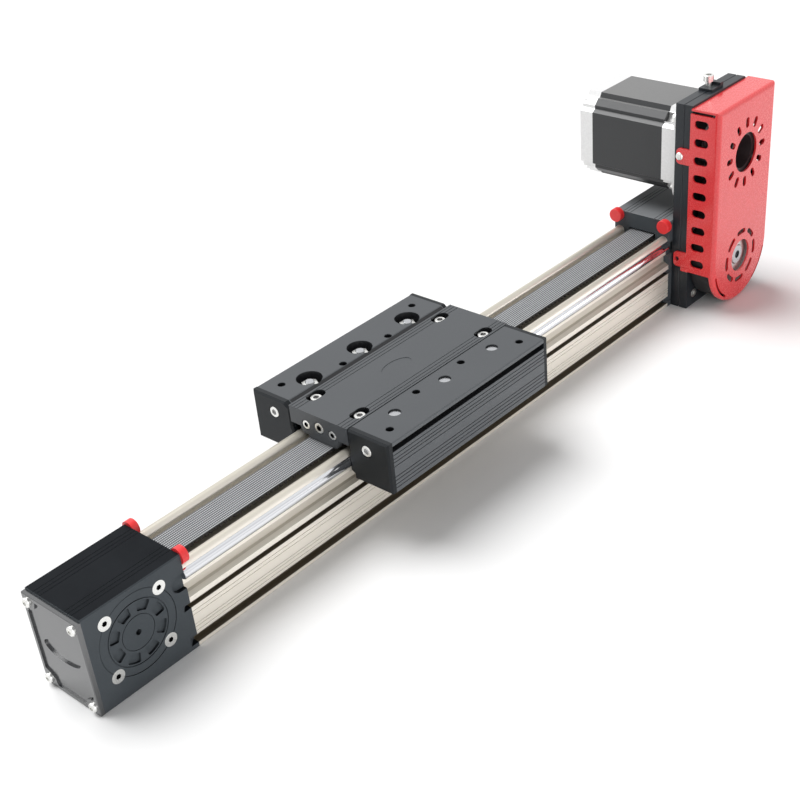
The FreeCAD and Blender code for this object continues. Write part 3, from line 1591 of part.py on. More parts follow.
def make_clamp_screws():
    screws = []
    for y, z, radius, head, height in front_screw_spots():
        seat = carriage_half - height - 0.4
        length = seat - (clamp_start() + clamp_length - clamp_room - clamp_screw_grip + 0.5)
        screw = cap_screw(radius, head, height, length)
        for s in (-1, 1):
            screws.append(at_rest(place(screw, vec(s * seat, y, z), vec(s, 0, 0))))
    return group(screws)


def make_roller(side, x):
    """Grooved track roller on a vertical axle."""
    centre = vec(x, side * axle_y, rod_z_pos)
    body = bar_z(roller_radius, roller_low, roller_high, x, side * axle_y)
    body = body.makeChamfer(0.8, [e for e in body.Edges if e.Closed and e.BoundBox.ZLength < 0.01])
    groove = Part.makeTorus(axle_y - rod_y_pos, rod_radius + roller_rod_gap, centre, vec(0, 0, 1))
    bore = bar_z(roller_bore + roller_bore_gap, roller_low - 1, roller_high + 1, x, side * axle_y)
    return at_rest(cut(body, [groove, bore]))


def build():
    os.makedirs("parts", exist_ok=True)
    idler_cover = make_bearing_cover(idler_x, idler_bearing_radius, idler_bearing_inner,
                                     cover_centre_radius)
    drive_cover = make_bearing_cover(drive_x, drive_bearing_radius, drive_bearing_inner,
                                     cover_centre_radius)
    save("profile", make_profile())
    save("guide_rod_near", make_rod(-1))
    save("guide_rod_far", make_rod(1))
    save("idler_housing", make_idler_housing())
    save("drive_housing", make_drive_housing())
    save("idler_end_cap", flip_x(make_end_cap(idler_end, idler_cap_height, idler_cap_rise)))
    save("drive_end_cap", make_end_cap(drive_end, drive_cap_height, drive_cap_rise))
    save("end_cap_screws", make_end_cap_screws())
    save("idler_cover_near", idler_cover)
    save("idler_cover_far", flip_y(idler_cover))
    save("drive_cover_near", make_bearing_cover(drive_x, drive_bearing_radius, drive_bearing_inner,
                                                drive_shaft_radius + shaft_hole_gap))
    save("drive_cover_far", flip_y(drive_cover))
    save("cover_screws", make_cover_screws())
    save("profile_end_screws", make_profile_end_screws())
    save("idler_bearings", make_bearing_pair(idler_x, idler_shaft_radius, idler_bearing_radius,
                                             idler_bearing_inner))
    save("drive_bearings", make_bearing_pair(drive_x, drive_shaft_radius, drive_bearing_radius,
                                             drive_bearing_inner))
    save("bumpers", make_bumpers())
    save("main_belt", make_main_belt())
    save("motor_plate_back", make_back_plate())
    save("motor_plate_front", make_front_plate())
    save("plate_screws", make_plate_screws())
    save("tension_block", make_tension_block())
    save("tension_screw", make_tension_screw())
    save("motor_front_flange", make_motor_front())
    save("motor_stator", make_motor_stator())
    save("motor_rear_bell", make_motor_bell())
    save("motor_screws", make_motor_screws())
    save("motor_bearings", make_motor_bearings())
    save("motor_lead_grommet", make_grommet())
    save("side_belt", make_side_belt())
    save("belt_cover", make_belt_cover())
    save("belt_cover_screws", make_guard_screws())
    save("idler_shaft", make_idler_shaft())
    save("idler_pulley", make_main_pulley(idler_x, idler_shaft_radius, idler_hub_radius,
                                          idler_bearing_inner))
    save("drive_shaft", make_drive_shaft())
    save("drive_pulley", make_main_pulley(drive_x, drive_shaft_radius, drive_hub_radius,
                                          drive_bearing_inner))
    save("driven_pulley", make_driven_pulley())
    save("motor_rotor", make_rotor())
    save("motor_pulley", make_motor_pulley())
    save("carriage_plate", make_carriage_plate())
    save("side_block_near", make_side_block(-1, False))
    save("side_block_far", make_side_block(1, True))
    save("lubricator_caps_near", make_tank_pair(-1))
    save("lubricator_caps_far", make_tank_pair(1))
    save("lubricator_screws", make_tank_screws())
    save("felt_wipers", make_felts())
    save("fixed_axles", make_fixed_axles())
    save("eccentric_axles", make_eccentric_axles())
    save("axle_nuts", make_axle_nuts())
    save("carriage_joint_screws", make_joint_screws())
    save("belt_clamps", make_belt_clamps())
    save("clamp_screws", make_clamp_screws())
    save("belt_ends", make_belt_ends())
    for k, x in enumerate(roller_offsets):
        save("roller_near_%d" % (k + 1), make_roller(-1, x))
        save("roller_far_%d" % (k + 1), make_roller(1, x))


build()
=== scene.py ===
import bpy
import math
from mathutils import Matrix, Vector


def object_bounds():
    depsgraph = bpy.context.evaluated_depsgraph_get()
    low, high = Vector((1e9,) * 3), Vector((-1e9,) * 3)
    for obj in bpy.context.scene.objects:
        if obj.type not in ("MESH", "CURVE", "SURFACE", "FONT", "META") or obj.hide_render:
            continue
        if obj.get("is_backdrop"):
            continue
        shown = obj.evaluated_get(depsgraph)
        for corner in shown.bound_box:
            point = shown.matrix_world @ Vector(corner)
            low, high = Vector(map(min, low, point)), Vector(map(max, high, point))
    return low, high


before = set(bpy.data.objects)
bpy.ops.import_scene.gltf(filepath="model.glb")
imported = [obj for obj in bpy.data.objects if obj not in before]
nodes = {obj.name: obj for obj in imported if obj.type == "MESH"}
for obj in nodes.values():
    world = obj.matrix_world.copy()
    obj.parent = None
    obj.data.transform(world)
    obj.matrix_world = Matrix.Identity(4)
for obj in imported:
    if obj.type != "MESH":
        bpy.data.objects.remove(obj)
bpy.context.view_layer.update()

# Profile: one long aluminium extrusion, champagne anodised. The die leaves
# fine straight lines along its length. The slots and the recess under the
# rods carry painted shade, and so do the faces that look up.
PROFILE_LIGHT = (0.98, 0.93, 0.85, 1.0)
PROFILE_DARK = (0.90, 0.845, 0.75, 1.0)
PROFILE_TOP_SHADE = (0.52, 0.49, 0.42, 1.0)
PROFILE_SLOT_SHADE = (0.20, 0.17, 0.125, 1.0)
PROFILE_STREAKS = (0.12, 900.0, 900.0)
PROFILE_LINES = (0.2, 2600.0, 2600.0)
PROFILE_LINE_DETAIL = 2.0
PROFILE_METALLIC = 0.45
PROFILE_ROUGH = 0.27
PROFILE_ROUGH_STREAK = 0.16
PROFILE_LINE_SHARE = 0.6
PROFILE_STREAK_SHARE = 0.4
PROFILE_RELIEF = 0.00002
PROFILE_TOP_PLAIN = 0.8
PROFILE_TOP_STREAK = 0.2
PROFILE_TOP_POWER = 2.0
PROFILE_HALF = 0.0325
PROFILE_SHADE_BANDS = ((0.0018, 0.0138, 1.0), (0.0358, 0.0446, 1.0), (0.0492, 0.0585, 0.4))
SLOT_EDGE = 0.0008
SLOT_START = 0.2
X, Y, Z = 0, 1, 2


class Number:
    """One shader value, with sums written as plain arithmetic."""

    def __init__(self, look, socket):
        self.look = look
        self.socket = socket

    def sum(self, operation, first, second):
        node = self.look.add("ShaderNodeMath", {"operation": operation}, {0: first, 1: second})
        return Number(self.look, node.outputs[0])

    def __add__(self, other):
        return self.sum("ADD", self, other)

    def __radd__(self, other):
        return self.sum("ADD", other, self)

    def __sub__(self, other):
        return self.sum("SUBTRACT", self, other)

    def __rsub__(self, other):
        return self.sum("SUBTRACT", other, self)

    def __mul__(self, other):
        return self.sum("MULTIPLY", self, other)

    def __rmul__(self, other):
        return self.sum("MULTIPLY", other, self)

    def __gt__(self, other):
        return self.sum("GREATER_THAN", self, other)

    def __lt__(self, other):
        return self.sum("LESS_THAN", self, other)

    def power(self, other):
        return self.sum("POWER", self, other)

    def sine(self):
        return self.sum("SINE", self, 0.0)

    def wave(self):
        """The sine, raised and halved so that it runs from 0 to 1."""
        return self.sine() * 0.5 + 0.5

    def size(self):
        return self.sum("ABSOLUTE", self, 0.0)

    def least(self, other):
        return self.sum("MINIMUM", self, other)

    def most(self, other):
        return self.sum("MAXIMUM", self, other)

    def limited(self):
        """The value, held between 0 and 1."""
        return self.most(0.0).least(1.0)


class Look:
    """One surface finish: its nodes, its shader and the place it is read at."""

    def __init__(self, name, metallic, specular=0.5):
        self.material = bpy.data.materials.new(name)
        self.material.use_nodes = True
        self.tree = self.material.node_tree
        self.shader = self.tree.nodes["Principled BSDF"]
        self.shader.inputs["Metallic"].default_value = metallic
        self.shader.inputs["Specular IOR Level"].default_value = specular
        self.place = self.add("ShaderNodeTexCoord", {}, {}).outputs["Object"]

    def add(self, kind, settings, sockets):
        """A node of any kind: its settings first, then values or links."""
        node = self.tree.nodes.new(kind)
        for key, value in settings.items():
            setattr(node, key, value)
        for key, value in sockets.items():
            if isinstance(value, Number):
                value = value.socket
            if isinstance(value, bpy.types.NodeSocket):
                self.tree.links.new(value, node.inputs[key])
            else:
                node.inputs[key].default_value = value
        return node

    def scaled(self, scale):
        sockets = {"Vector": self.place, "Scale": scale}
        return self.add("ShaderNodeMapping", {"vector_type": "POINT"}, sockets).outputs[0]

    def noise(self, scale, detail=4.0, roughness=0.55):
        """Noise of about 0 to 1, its scale per metre along each axis."""
        sockets = {"Vector": self.scaled(scale), "Scale": 1.0, "Detail": detail}
        sockets["Roughness"] = roughness
        return Number(self, self.add("ShaderNodeTexNoise", {}, sockets).outputs[0])

    def along(self, axis):
        """How far along X, Y or Z the point lies, in metres."""
        return Number(self, self.add("ShaderNodeSeparateXYZ", {}, {0: self.place}).outputs[axis])

    def facing(self, axis):
        """How far the surface faces along an axis, from -1 to 1."""
        normal = self.add("ShaderNodeNewGeometry", {}, {}).outputs["Normal"]
        return Number(self, self.add("ShaderNodeSeparateXYZ", {}, {0: normal}).outputs[axis])

    def upward(self, power):
        """Near 1 where the surface faces up, 0 on its sides."""
        return self.facing(Z).most(0.0).power(power)

    def blend(self, share, first, second):
        """Colour between two colours by a share of 0 to 1."""
        node = self.add("ShaderNodeMix", {"data_type": "RGBA"}, {0: share, 6: first, 7: second})
        return node.outputs[2]

    def colour(self, socket):
        self.tree.links.new(socket, self.shader.inputs["Base Color"])

    def rough(self, value):
        self.tree.links.new(value.socket, self.shader.inputs["Roughness"])

    def relief(self, height, distance):
        """Fine relief, its full height in metres."""
        sockets = {"Height": height, "Distance": distance, "Strength": 1.0}
        bump = self.add("ShaderNodeBump", {}, sockets)
        self.tree.links.new(bump.outputs[0], self.shader.inputs["Normal"])

    def cover(self, names):
        for name in names:
            for slot in nodes[name].material_slots:
                slot.material = self.material


look = Look("profile_anodised", PROFILE_METALLIC)
streak = look.noise(PROFILE_STREAKS)
line = look.noise(PROFILE_LINES, PROFILE_LINE_DETAIL)
plain = look.blend(streak, PROFILE_DARK, PROFILE_LIGHT)
# Painted shade: the faces that look up are made darker.
share = look.upward(PROFILE_TOP_POWER) * (PROFILE_TOP_PLAIN + streak * PROFILE_TOP_STREAK)
plain = look.blend(share, plain, PROFILE_TOP_SHADE)
# Painted shade in the slots and in the recess under the rods, by band of height.
depth = (PROFILE_HALF - look.along(Y).size()) * (1 / SLOT_EDGE)
inside = (depth - SLOT_START).limited()
height = look.along(Z)
slot_shade = 0.0
for low, high, share in PROFILE_SHADE_BANDS:
    slot_shade = slot_shade + (height > low) * (high > height) * share
look.colour(look.blend(inside * slot_shade, plain, PROFILE_SLOT_SHADE))
look.rough(PROFILE_ROUGH + streak * PROFILE_ROUGH_STREAK)
look.relief(line * PROFILE_LINE_SHARE + streak * PROFILE_STREAK_SHARE, PROFILE_RELIEF)
look.cover(["profile"])

# Guide rods: two hardened steel rods, ground and polished, pressed into the
# seats of the profile. Light and dark streaks run along them: faint roller
# tracks, with painted reflection streaks.
ROD_LIGHT = (0.98, 0.98, 0.99, 1.0)
ROD_DARK = (0.46, 0.48, 0.53, 1.0)
ROD_MARKS_AND_REFLECTION = (2.0, 950.0, 950.0)
ROD_ROUGH = 0.07
ROD_ROUGH_MARK = 0.10
ROD_RELIEF = 0.00003
look = Look("rod_steel", 1.0)
mark_and_reflection = look.noise(ROD_MARKS_AND_REFLECTION)
# Painted reflection: light and dark streaks along the rod, over the faint tracks.
look.colour(look.blend(mark_and_reflection, ROD_DARK, ROD_LIGHT))
look.rough(ROD_ROUGH + mark_and_reflection * ROD_ROUGH_MARK)
look.relief(mark_and_reflection, ROD_RELIEF)
look.cover(["guide_rod_near", "guide_rod_far"])

# End housings with their bearing covers: milled aluminium, black anodised
# satin. The covers sit flush in the sides of the housings, four screws each.
BLACK_LIGHT = (0.088, 0.099, 0.109, 1.0)
BLACK_DARK = (0.058, 0.067, 0.075, 1.0)
IDLER_TOP_SHADE = (0.003, 0.004, 0.006, 1.0)
DRIVE_TOP_LIGHT = (0.25, 0.26, 0.27, 1.0)
BLACK_GRAIN = (700.0, 700.0, 700.0)
BLACK_CLOUD = (26.0, 26.0, 26.0)
BLACK_CLOUD_SHARE = 0.7
BLACK_GRAIN_SHARE = 0.3
BLACK_SPECULAR = 0.04
BLACK_TOP_POWER = 4.0
BLACK_TOP_PLAIN = 0.8
BLACK_TOP_CLOUD = 0.2
BLACK_ROUGH = 0.26
BLACK_ROUGH_GRAIN = 0.12
BLACK_ROUGH_CLOUD = 0.08
BLACK_RELIEF = 0.000012
# Each end gets its own copy with a painted top: painted shade on the idler's top faces, painted
# light on the drive's.
for end, painted_top in (("idler", IDLER_TOP_SHADE), ("drive", DRIVE_TOP_LIGHT)):
    look = Look(end + "_black_anodised_painted_top", 0.0, BLACK_SPECULAR)
    grain = look.noise(BLACK_GRAIN)
    cloud = look.noise(BLACK_CLOUD)
    share = cloud * BLACK_CLOUD_SHARE + grain * BLACK_GRAIN_SHARE
    sides = look.blend(share, BLACK_DARK, BLACK_LIGHT)
    share = look.upward(BLACK_TOP_POWER) * (BLACK_TOP_PLAIN + cloud * BLACK_TOP_CLOUD)
    look.colour(look.blend(share, sides, painted_top))
    look.rough(BLACK_ROUGH + grain * BLACK_ROUGH_GRAIN + cloud * BLACK_ROUGH_CLOUD)
    look.relief(grain, BLACK_RELIEF)
    look.cover([end + "_housing", end + "_cover_near", end + "_cover_far"])

# End caps: cast plates, black and glossier than the housings, each held by
# four round-headed screws.
CAP_LIGHT = (0.030, 0.034, 0.038, 1.0)
CAP_DARK = (0.012, 0.014, 0.017, 1.0)
CAP_CLOUD = (38.0, 38.0, 38.0)
CAP_LACQUER = 2.3
CAP_ROUGH = 0.12
CAP_ROUGH_CLOUD = 0.10
CAP_GRAIN_SHARE = 0.4
CAP_CLOUD_SHARE = 0.6
CAP_RELIEF = 0.00003
look = Look("cap_black", 0.0)
look.shader.inputs["IOR"].default_value = CAP_LACQUER
cloud = look.noise(CAP_CLOUD)
grain = look.noise(BLACK_GRAIN)
look.colour(look.blend(cloud, CAP_DARK, CAP_LIGHT))
look.rough(CAP_ROUGH + cloud * CAP_ROUGH_CLOUD)
look.relief(grain * CAP_GRAIN_SHARE + cloud * CAP_CLOUD_SHARE, CAP_RELIEF)
look.cover(["idler_end_cap", "drive_end_cap"])

# Screws and nuts: zinc plated steel, bright, with faint turning marks. The
# sockets of some carry painted shade. A group's sockets are all that lies
# within its reach of its middle, along one axis.
SCREW_LIGHT = (0.93, 0.93, 0.91, 1.0)
SCREW_DARK = (0.72, 0.72, 0.70, 1.0)
SOCKET_SHADE_DEEP = (0.045, 0.045, 0.048, 1.0)
SOCKET_SHADE_SOFT = (0.50, 0.50, 0.50, 1.0)
SCREW_GRAIN = (1600.0, 1600.0, 1600.0)
SCREW_ROUGH = 0.20
SCREW_ROUGH_GRAIN = 0.16
SCREW_RELIEF = 0.00001
CARRIAGE_MIDDLE = -0.0418
SCREW_GROUPS = (
    (["cover_screws"], Y, 0.0, 0.0321, SOCKET_SHADE_DEEP),
    (["clamp_screws"], X, CARRIAGE_MIDDLE, 0.1033, SOCKET_SHADE_DEEP),
    (["lubricator_screws"], X, CARRIAGE_MIDDLE, 0.1037, SOCKET_SHADE_SOFT),
    (["carriage_joint_screws"], Z, 0.0, 0.0989, SOCKET_SHADE_SOFT),
    (["end_cap_screws", "profile_end_screws", "plate_screws", "tension_screw",
      "motor_screws", "belt_cover_screws", "axle_nuts"], X, 0.0, 0.0, SOCKET_SHADE_SOFT),
)
for names, axis, middle, reach, socket in SCREW_GROUPS:
    look = Look("screw_zinc", 1.0)
    grain = look.noise(SCREW_GRAIN)
    bright = look.blend(grain, SCREW_DARK, SCREW_LIGHT)
    # Painted shade in the sockets of the group.
    socket_shade_mask = (look.along(axis) - middle).size() < reach
    look.colour(look.blend(socket_shade_mask, bright, socket))
    look.rough(SCREW_ROUGH + grain * SCREW_ROUGH_GRAIN)
    look.relief(grain, SCREW_RELIEF)
    look.cover(names)

# Bearings, shafts, axles and rollers: ground bearing steel under a film of
# oil. The bearings are pressed into their seats, and the rollers run on
# their axles under the side blocks.
STEEL_LIGHT = (0.62, 0.63, 0.65, 1.0)
STEEL_DARK = (0.42, 0.43, 0.45, 1.0)
STEEL_GRAIN = (900.0, 900.0, 900.0)
STEEL_ROUGH = 0.16
STEEL_ROUGH_GRAIN = 0.14
STEEL_RELIEF = 0.000006
look = Look("bearing_steel", 1.0)
grain = look.noise(STEEL_GRAIN)
look.colour(look.blend(grain, STEEL_DARK, STEEL_LIGHT))
look.rough(STEEL_ROUGH + grain * STEEL_ROUGH_GRAIN)
look.relief(grain, STEEL_RELIEF)
look.cover(["idler_bearings", "drive_bearings", "motor_bearings", "idler_shaft",
            "drive_shaft", "motor_rotor", "fixed_axles", "eccentric_axles"])
look.cover(["roller_%s_%d" % (side, k) for side in ("near", "far") for k in (1, 2, 3)])

# Belt pulleys and belt clamps: machined aluminium with fine turning lines.
# The pulleys sit on their shafts, the clamps hold the belt in the carriage.
PULLEY_LIGHT = (0.74, 0.74, 0.73, 1.0)
PULLEY_DARK = (0.54, 0.54, 0.53, 1.0)
PULLEY_GRAIN = (500.0, 2600.0, 500.0)
PULLEY_ROUGH = 0.26
PULLEY_ROUGH_GRAIN = 0.16
PULLEY_RELIEF = 0.000012
look = Look("pulley_aluminium", 1.0)
grain = look.noise(PULLEY_GRAIN)
look.colour(look.blend(grain, PULLEY_DARK, PULLEY_LIGHT))
look.rough(PULLEY_ROUGH + grain * PULLEY_ROUGH_GRAIN)
look.relief(grain, PULLEY_RELIEF)
look.cover(["idler_pulley", "drive_pulley", "driven_pulley", "belt_clamps"])

# Motor pulley: turned steel, blackened, dark inside its dish. It sits on the
# motor shaft behind the large hole of the cover.
BLACKENED_LIGHT = (0.060, 0.042, 0.044, 1.0)
BLACKENED_DARK = (0.030, 0.020, 0.022, 1.0)
BLACKENED_METALLIC = 0.3
BLACKENED_ROUGH = 0.30
look = Look("pulley_blackened", BLACKENED_METALLIC)
grain = look.noise(PULLEY_GRAIN)
look.colour(look.blend(grain, BLACKENED_DARK, BLACKENED_LIGHT))
look.rough(BLACKENED_ROUGH + grain * PULLEY_ROUGH_GRAIN)
look.relief(grain, PULLEY_RELIEF)
look.cover(["motor_pulley"])

# Bumpers: red rubber buttons, moulded and slightly glossy, pushed into the
# housings above the rods.
BUMPER_LIGHT = (0.90, 0.045, 0.048, 1.0)
BUMPER_DARK = (0.78, 0.026, 0.030, 1.0)
BUMPER_GRAIN = (420.0, 420.0, 420.0)
BUMPER_ROUGH = 0.32
BUMPER_ROUGH_GRAIN = 0.14
BUMPER_RELIEF = 0.00003
look = Look("bumper_rubber", 0.0)
grain = look.noise(BUMPER_GRAIN)
look.colour(look.blend(grain, BUMPER_DARK, BUMPER_LIGHT))
look.rough(BUMPER_ROUGH + grain * BUMPER_ROUGH_GRAIN)
look.relief(grain, BUMPER_RELIEF)
look.cover(["bumpers"])

# Main belt: black toothed rubber. Its back carries a woven cover, pale
# threads along the belt crossed by fine dark ones.
THREAD_PALE = (0.60, 0.62, 0.64, 1.0)
THREAD_DARK = (0.016, 0.017, 0.019, 1.0)
RUBBER_LIGHT = (0.030, 0.030, 0.031, 1.0)
RUBBER_DARK = (0.012, 0.012, 0.013, 1.0)
RUBBER_GRAIN = (800.0, 800.0, 800.0)
RUBBER_SPECULAR = 0.4
RUBBER_ROUGH_GRAIN = 0.2
BELT_CLOUD = (30.0, 260.0, 260.0)
BELT_ROUGH = 0.42
BELT_RELIEF = 0.00012
BACK_FACING = 0.6
THREAD_PITCH = 0.0023
THREAD_GAIN = 1.7
THREAD_GAP = 0.25
THREAD_SHIFT = 1.6
THREAD_PLAIN = 0.75
THREAD_CLOUD = 0.4
THREAD_HEIGHT = 0.8
GRAIN_HEIGHT = 0.2
TICK_PITCH = 0.0017
TICK_LOW = 0.30
TICK_SPAN = 0.70
TURN = 2 * math.pi
look = Look("main_belt_weave", 0.0, RUBBER_SPECULAR)
grain = look.noise(RUBBER_GRAIN)
cloud = look.noise(BELT_CLOUD)
row = (look.along(Y) * (TURN / THREAD_PITCH)).wave()
shift = (look.along(Y) * (TURN / THREAD_PITCH / 2)).sine() * THREAD_SHIFT
tick = (look.along(X) * (TURN / TICK_PITCH) + shift).wave()
weave = (row * THREAD_GAIN - THREAD_GAP).limited() * (TICK_LOW + tick * TICK_SPAN)
back = look.facing(Z).most(0.0) > BACK_FACING
thread = weave * (THREAD_PLAIN + cloud * THREAD_CLOUD) * back
rubber = look.blend(grain, RUBBER_DARK, RUBBER_LIGHT)
cloth = look.blend(thread.least(1.0), THREAD_DARK, THREAD_PALE)
look.colour(look.blend(back, rubber, cloth))
look.rough(BELT_ROUGH + grain * RUBBER_ROUGH_GRAIN)
look.relief(thread * THREAD_HEIGHT + grain * GRAIN_HEIGHT, BELT_RELIEF)
look.cover(["main_belt"])

# Belt ends, side belt and lead grommet: plain black rubber with fine ribs
# round the side belt's back.
RIB_PITCH = 0.0012
RIB_SHARE = 0.5
RIB_GRAIN_SHARE = 0.5
RIB_ROUGH = 0.38
RIB_RELIEF = 0.00006
look = Look("black_rubber", 0.0, RUBBER_SPECULAR)
grain = look.noise(RUBBER_GRAIN)
rib = (look.along(Y) * (TURN / RIB_PITCH)).wave()
look.colour(look.blend(grain, RUBBER_DARK, RUBBER_LIGHT))
look.rough(RIB_ROUGH + grain * RUBBER_ROUGH_GRAIN)
look.relief(rib * RIB_SHARE + grain * RIB_GRAIN_SHARE, RIB_RELIEF)
look.cover(["side_belt", "belt_ends", "motor_lead_grommet"])

# Motor plates and tension block: milled aluminium, black anodised with a
# blue cast. Two plates are bolted to the housing one on the other.
PLATE_LIGHT = (0.024, 0.029, 0.035, 1.0)
PLATE_DARK = (0.012, 0.015, 0.019, 1.0)
PLATE_GRAIN = (420.0, 900.0, 420.0)
PLATE_SPECULAR = 0.4
PLATE_ROUGH = 0.30
PLATE_ROUGH_GRAIN = 0.14
PLATE_RELIEF = 0.000015
look = Look("plate_black", 0.0, PLATE_SPECULAR)
grain = look.noise(PLATE_GRAIN)
look.colour(look.blend(grain, PLATE_DARK, PLATE_LIGHT))
look.rough(PLATE_ROUGH + grain * PLATE_ROUGH_GRAIN)
look.relief(grain, PLATE_RELIEF)
look.cover(["motor_plate_back", "motor_plate_front", "tension_block"])

# Motor flange and rear bell: die-cast aluminium, bare and matt. They close
# the motor body, and four screws hold the flange to the plates.
CAST_LIGHT = (0.88, 0.88, 0.88, 1.0)
CAST_DARK = (0.70, 0.70, 0.70, 1.0)
CAST_GRAIN = (620.0, 620.0, 620.0)
CAST_METALLIC = 0.55
CAST_ROUGH = 0.36
CAST_ROUGH_GRAIN = 0.16
CAST_RELIEF = 0.00005
look = Look("cast_aluminium", CAST_METALLIC)
grain = look.noise(CAST_GRAIN)
look.colour(look.blend(grain, CAST_DARK, CAST_LIGHT))
look.rough(CAST_ROUGH + grain * CAST_ROUGH_GRAIN)
look.relief(grain, CAST_RELIEF)
look.cover(["motor_front_flange", "motor_rear_bell"])

# Motor body: a stack of thin steel sheets, painted dark grey satin. The
# edges of the sheets show through the paint as faint lines.
STACK_LIGHT = (0.038, 0.040, 0.042, 1.0)
STACK_DARK = (0.022, 0.023, 0.025, 1.0)
STACK_TOP_LIGHT = (0.17, 0.17, 0.17, 1.0)
STACK_TOP_POWER = 12.0
STACK_GRAIN = (500.0, 500.0, 500.0)
STACK_GRAIN_SHARE = 0.7
STACK_SHEET_SHARE = 0.3
STACK_ROUGH = 0.34
STACK_ROUGH_GRAIN = 0.14
STACK_HEIGHT = 0.5
STACK_RELIEF = 0.00002
SHEET_PITCH = 0.0010
look = Look("motor_paint", 0.0)
grain = look.noise(STACK_GRAIN)
sheet = (look.along(Y) * (TURN / SHEET_PITCH)).wave()
share = grain * STACK_GRAIN_SHARE + sheet * STACK_SHEET_SHARE
sides = look.blend(share, STACK_DARK, STACK_LIGHT)
# Painted light: the faces that look up are made lighter.
look.colour(look.blend(look.upward(STACK_TOP_POWER), sides, STACK_TOP_LIGHT))
look.rough(STACK_ROUGH + grain * STACK_ROUGH_GRAIN)
look.relief(sheet * STACK_HEIGHT + grain * STACK_HEIGHT, STACK_RELIEF)
look.cover(["motor_stator"])

# Belt cover: folded sheet steel with a red powder coat, which has the faint
# orange peel of all such coats. Screwed to the edges of the motor plates.
RED_LIGHT = (0.84, 0.040, 0.045, 1.0)
RED_DARK = (0.74, 0.020, 0.026, 1.0)
RED_CLOUD = (20.0, 20.0, 20.0)
RED_COAT = 0.7
RED_COAT_ROUGH = 0.12
RED_ROUGH = 0.22
RED_ROUGH_PEEL = 0.10
PEEL = (650.0, 650.0, 650.0)
PEEL_DETAIL = 2.0
PEEL_RELIEF = 0.00001
look = Look("cover_red", 0.0)
look.shader.inputs["Coat Weight"].default_value = RED_COAT
look.shader.inputs["Coat Roughness"].default_value = RED_COAT_ROUGH
peel = look.noise(PEEL, PEEL_DETAIL)
cloud = look.noise(RED_CLOUD)
look.colour(look.blend(cloud, RED_DARK, RED_LIGHT))
look.rough(RED_ROUGH + peel * RED_ROUGH_PEEL)
look.relief(peel, PEEL_RELIEF)
look.cover(["belt_cover"])

# Carriage plate and side blocks: extruded and milled aluminium, anodised
# dark grey, with brush marks along the travel. Their sides that face along Y
# carry painted light, and their pockets and slots carry painted shade.
GREY_LIGHT = (0.064, 0.070, 0.077, 1.0)
GREY_DARK = (0.041, 0.046, 0.052, 1.0)
GREY_SIDE_LIGHT = (0.150, 0.162, 0.174, 1.0)
GREY_SIDE_PLAIN = 0.3
GREY_SIDE_CLOUD = 0.2
GREY_POCKET_SHADE = (0.008, 0.009, 0.011, 1.0)
GREY_BRUSH = (14.0, 1500.0, 1500.0)
GREY_CLOUD = (18.0, 18.0, 18.0)
GREY_HALF_SHARE = 0.5
GREY_ROUGH = 0.34
GREY_ROUGH_BRUSH = 0.12
GREY_ROUGH_CLOUD = 0.06
GREY_RELIEF = 0.00001
POCKET_TOP = 0.1009
POCKET_REACH = 0.0975
POCKET_WIDE = 0.0768
look = Look("carriage_grey", 0.0)
brush = look.noise(GREY_BRUSH)
cloud = look.noise(GREY_CLOUD)
share = brush * GREY_HALF_SHARE + cloud * GREY_HALF_SHARE
plain = look.blend(share, GREY_DARK, GREY_LIGHT)
# Painted light on the sides that face along Y.
share = look.facing(Y).size() * (GREY_SIDE_PLAIN + cloud * GREY_SIDE_CLOUD)
plain = look.blend(share, plain, GREY_SIDE_LIGHT)
# Painted shade in the pockets and slots below the top.
pocket_shade = (look.along(Z) < POCKET_TOP) * (look.along(Y).size() < POCKET_WIDE)
pocket_shade = pocket_shade * ((look.along(X) - CARRIAGE_MIDDLE).size() < POCKET_REACH)
look.colour(look.blend(pocket_shade, plain, GREY_POCKET_SHADE))
look.rough(GREY_ROUGH + brush * GREY_ROUGH_BRUSH + cloud * GREY_ROUGH_CLOUD)
look.relief(brush, GREY_RELIEF)
look.cover(["carriage_plate", "side_block_near", "side_block_far"])

# Lubricator caps: dark moulded plastic on both ends of the side blocks,
# finely eroded, each with one screw. They hold the oiling felts.
TANK_LIGHT = (0.015, 0.018, 0.021, 1.0)
TANK_DARK = (0.008, 0.010, 0.012, 1.0)
TANK_GRAIN = (900.0, 900.0, 900.0)
TANK_SPECULAR = 0.2
TANK_ROUGH = 0.34
TANK_ROUGH_GRAIN = 0.16
TANK_RELIEF = 0.00004
look = Look("tank_plastic", 0.0, TANK_SPECULAR)
grain = look.noise(TANK_GRAIN)
look.colour(look.blend(grain, TANK_DARK, TANK_LIGHT))
look.rough(TANK_ROUGH + grain * TANK_ROUGH_GRAIN)
look.relief(grain, TANK_RELIEF)
look.cover(["lubricator_caps_near", "lubricator_caps_far"])

# Oiling felts: short pads of grey-brown wool felt, soaked in oil. Each sits in
# a pocket of a lubricator cap and almost touches its rod.
FELT_LIGHT = (0.36, 0.33, 0.28, 1.0)
FELT_DARK = (0.20, 0.18, 0.15, 1.0)
FELT_FIBRE = (1300.0, 1300.0, 1300.0)
FELT_DETAIL = 8.0
FELT_SPECULAR = 0.2
FELT_ROUGH = 0.85
FELT_ROUGH_FIBRE = 0.1
FELT_RELIEF = 0.0003
look = Look("felt", 0.0, FELT_SPECULAR)
fibre = look.noise(FELT_FIBRE, FELT_DETAIL)
look.colour(look.blend(fibre, FELT_DARK, FELT_LIGHT))
look.rough(FELT_ROUGH + fibre * FELT_ROUGH_FIBRE)
look.relief(fibre, FELT_RELIEF)
look.cover(["felt_wipers"])

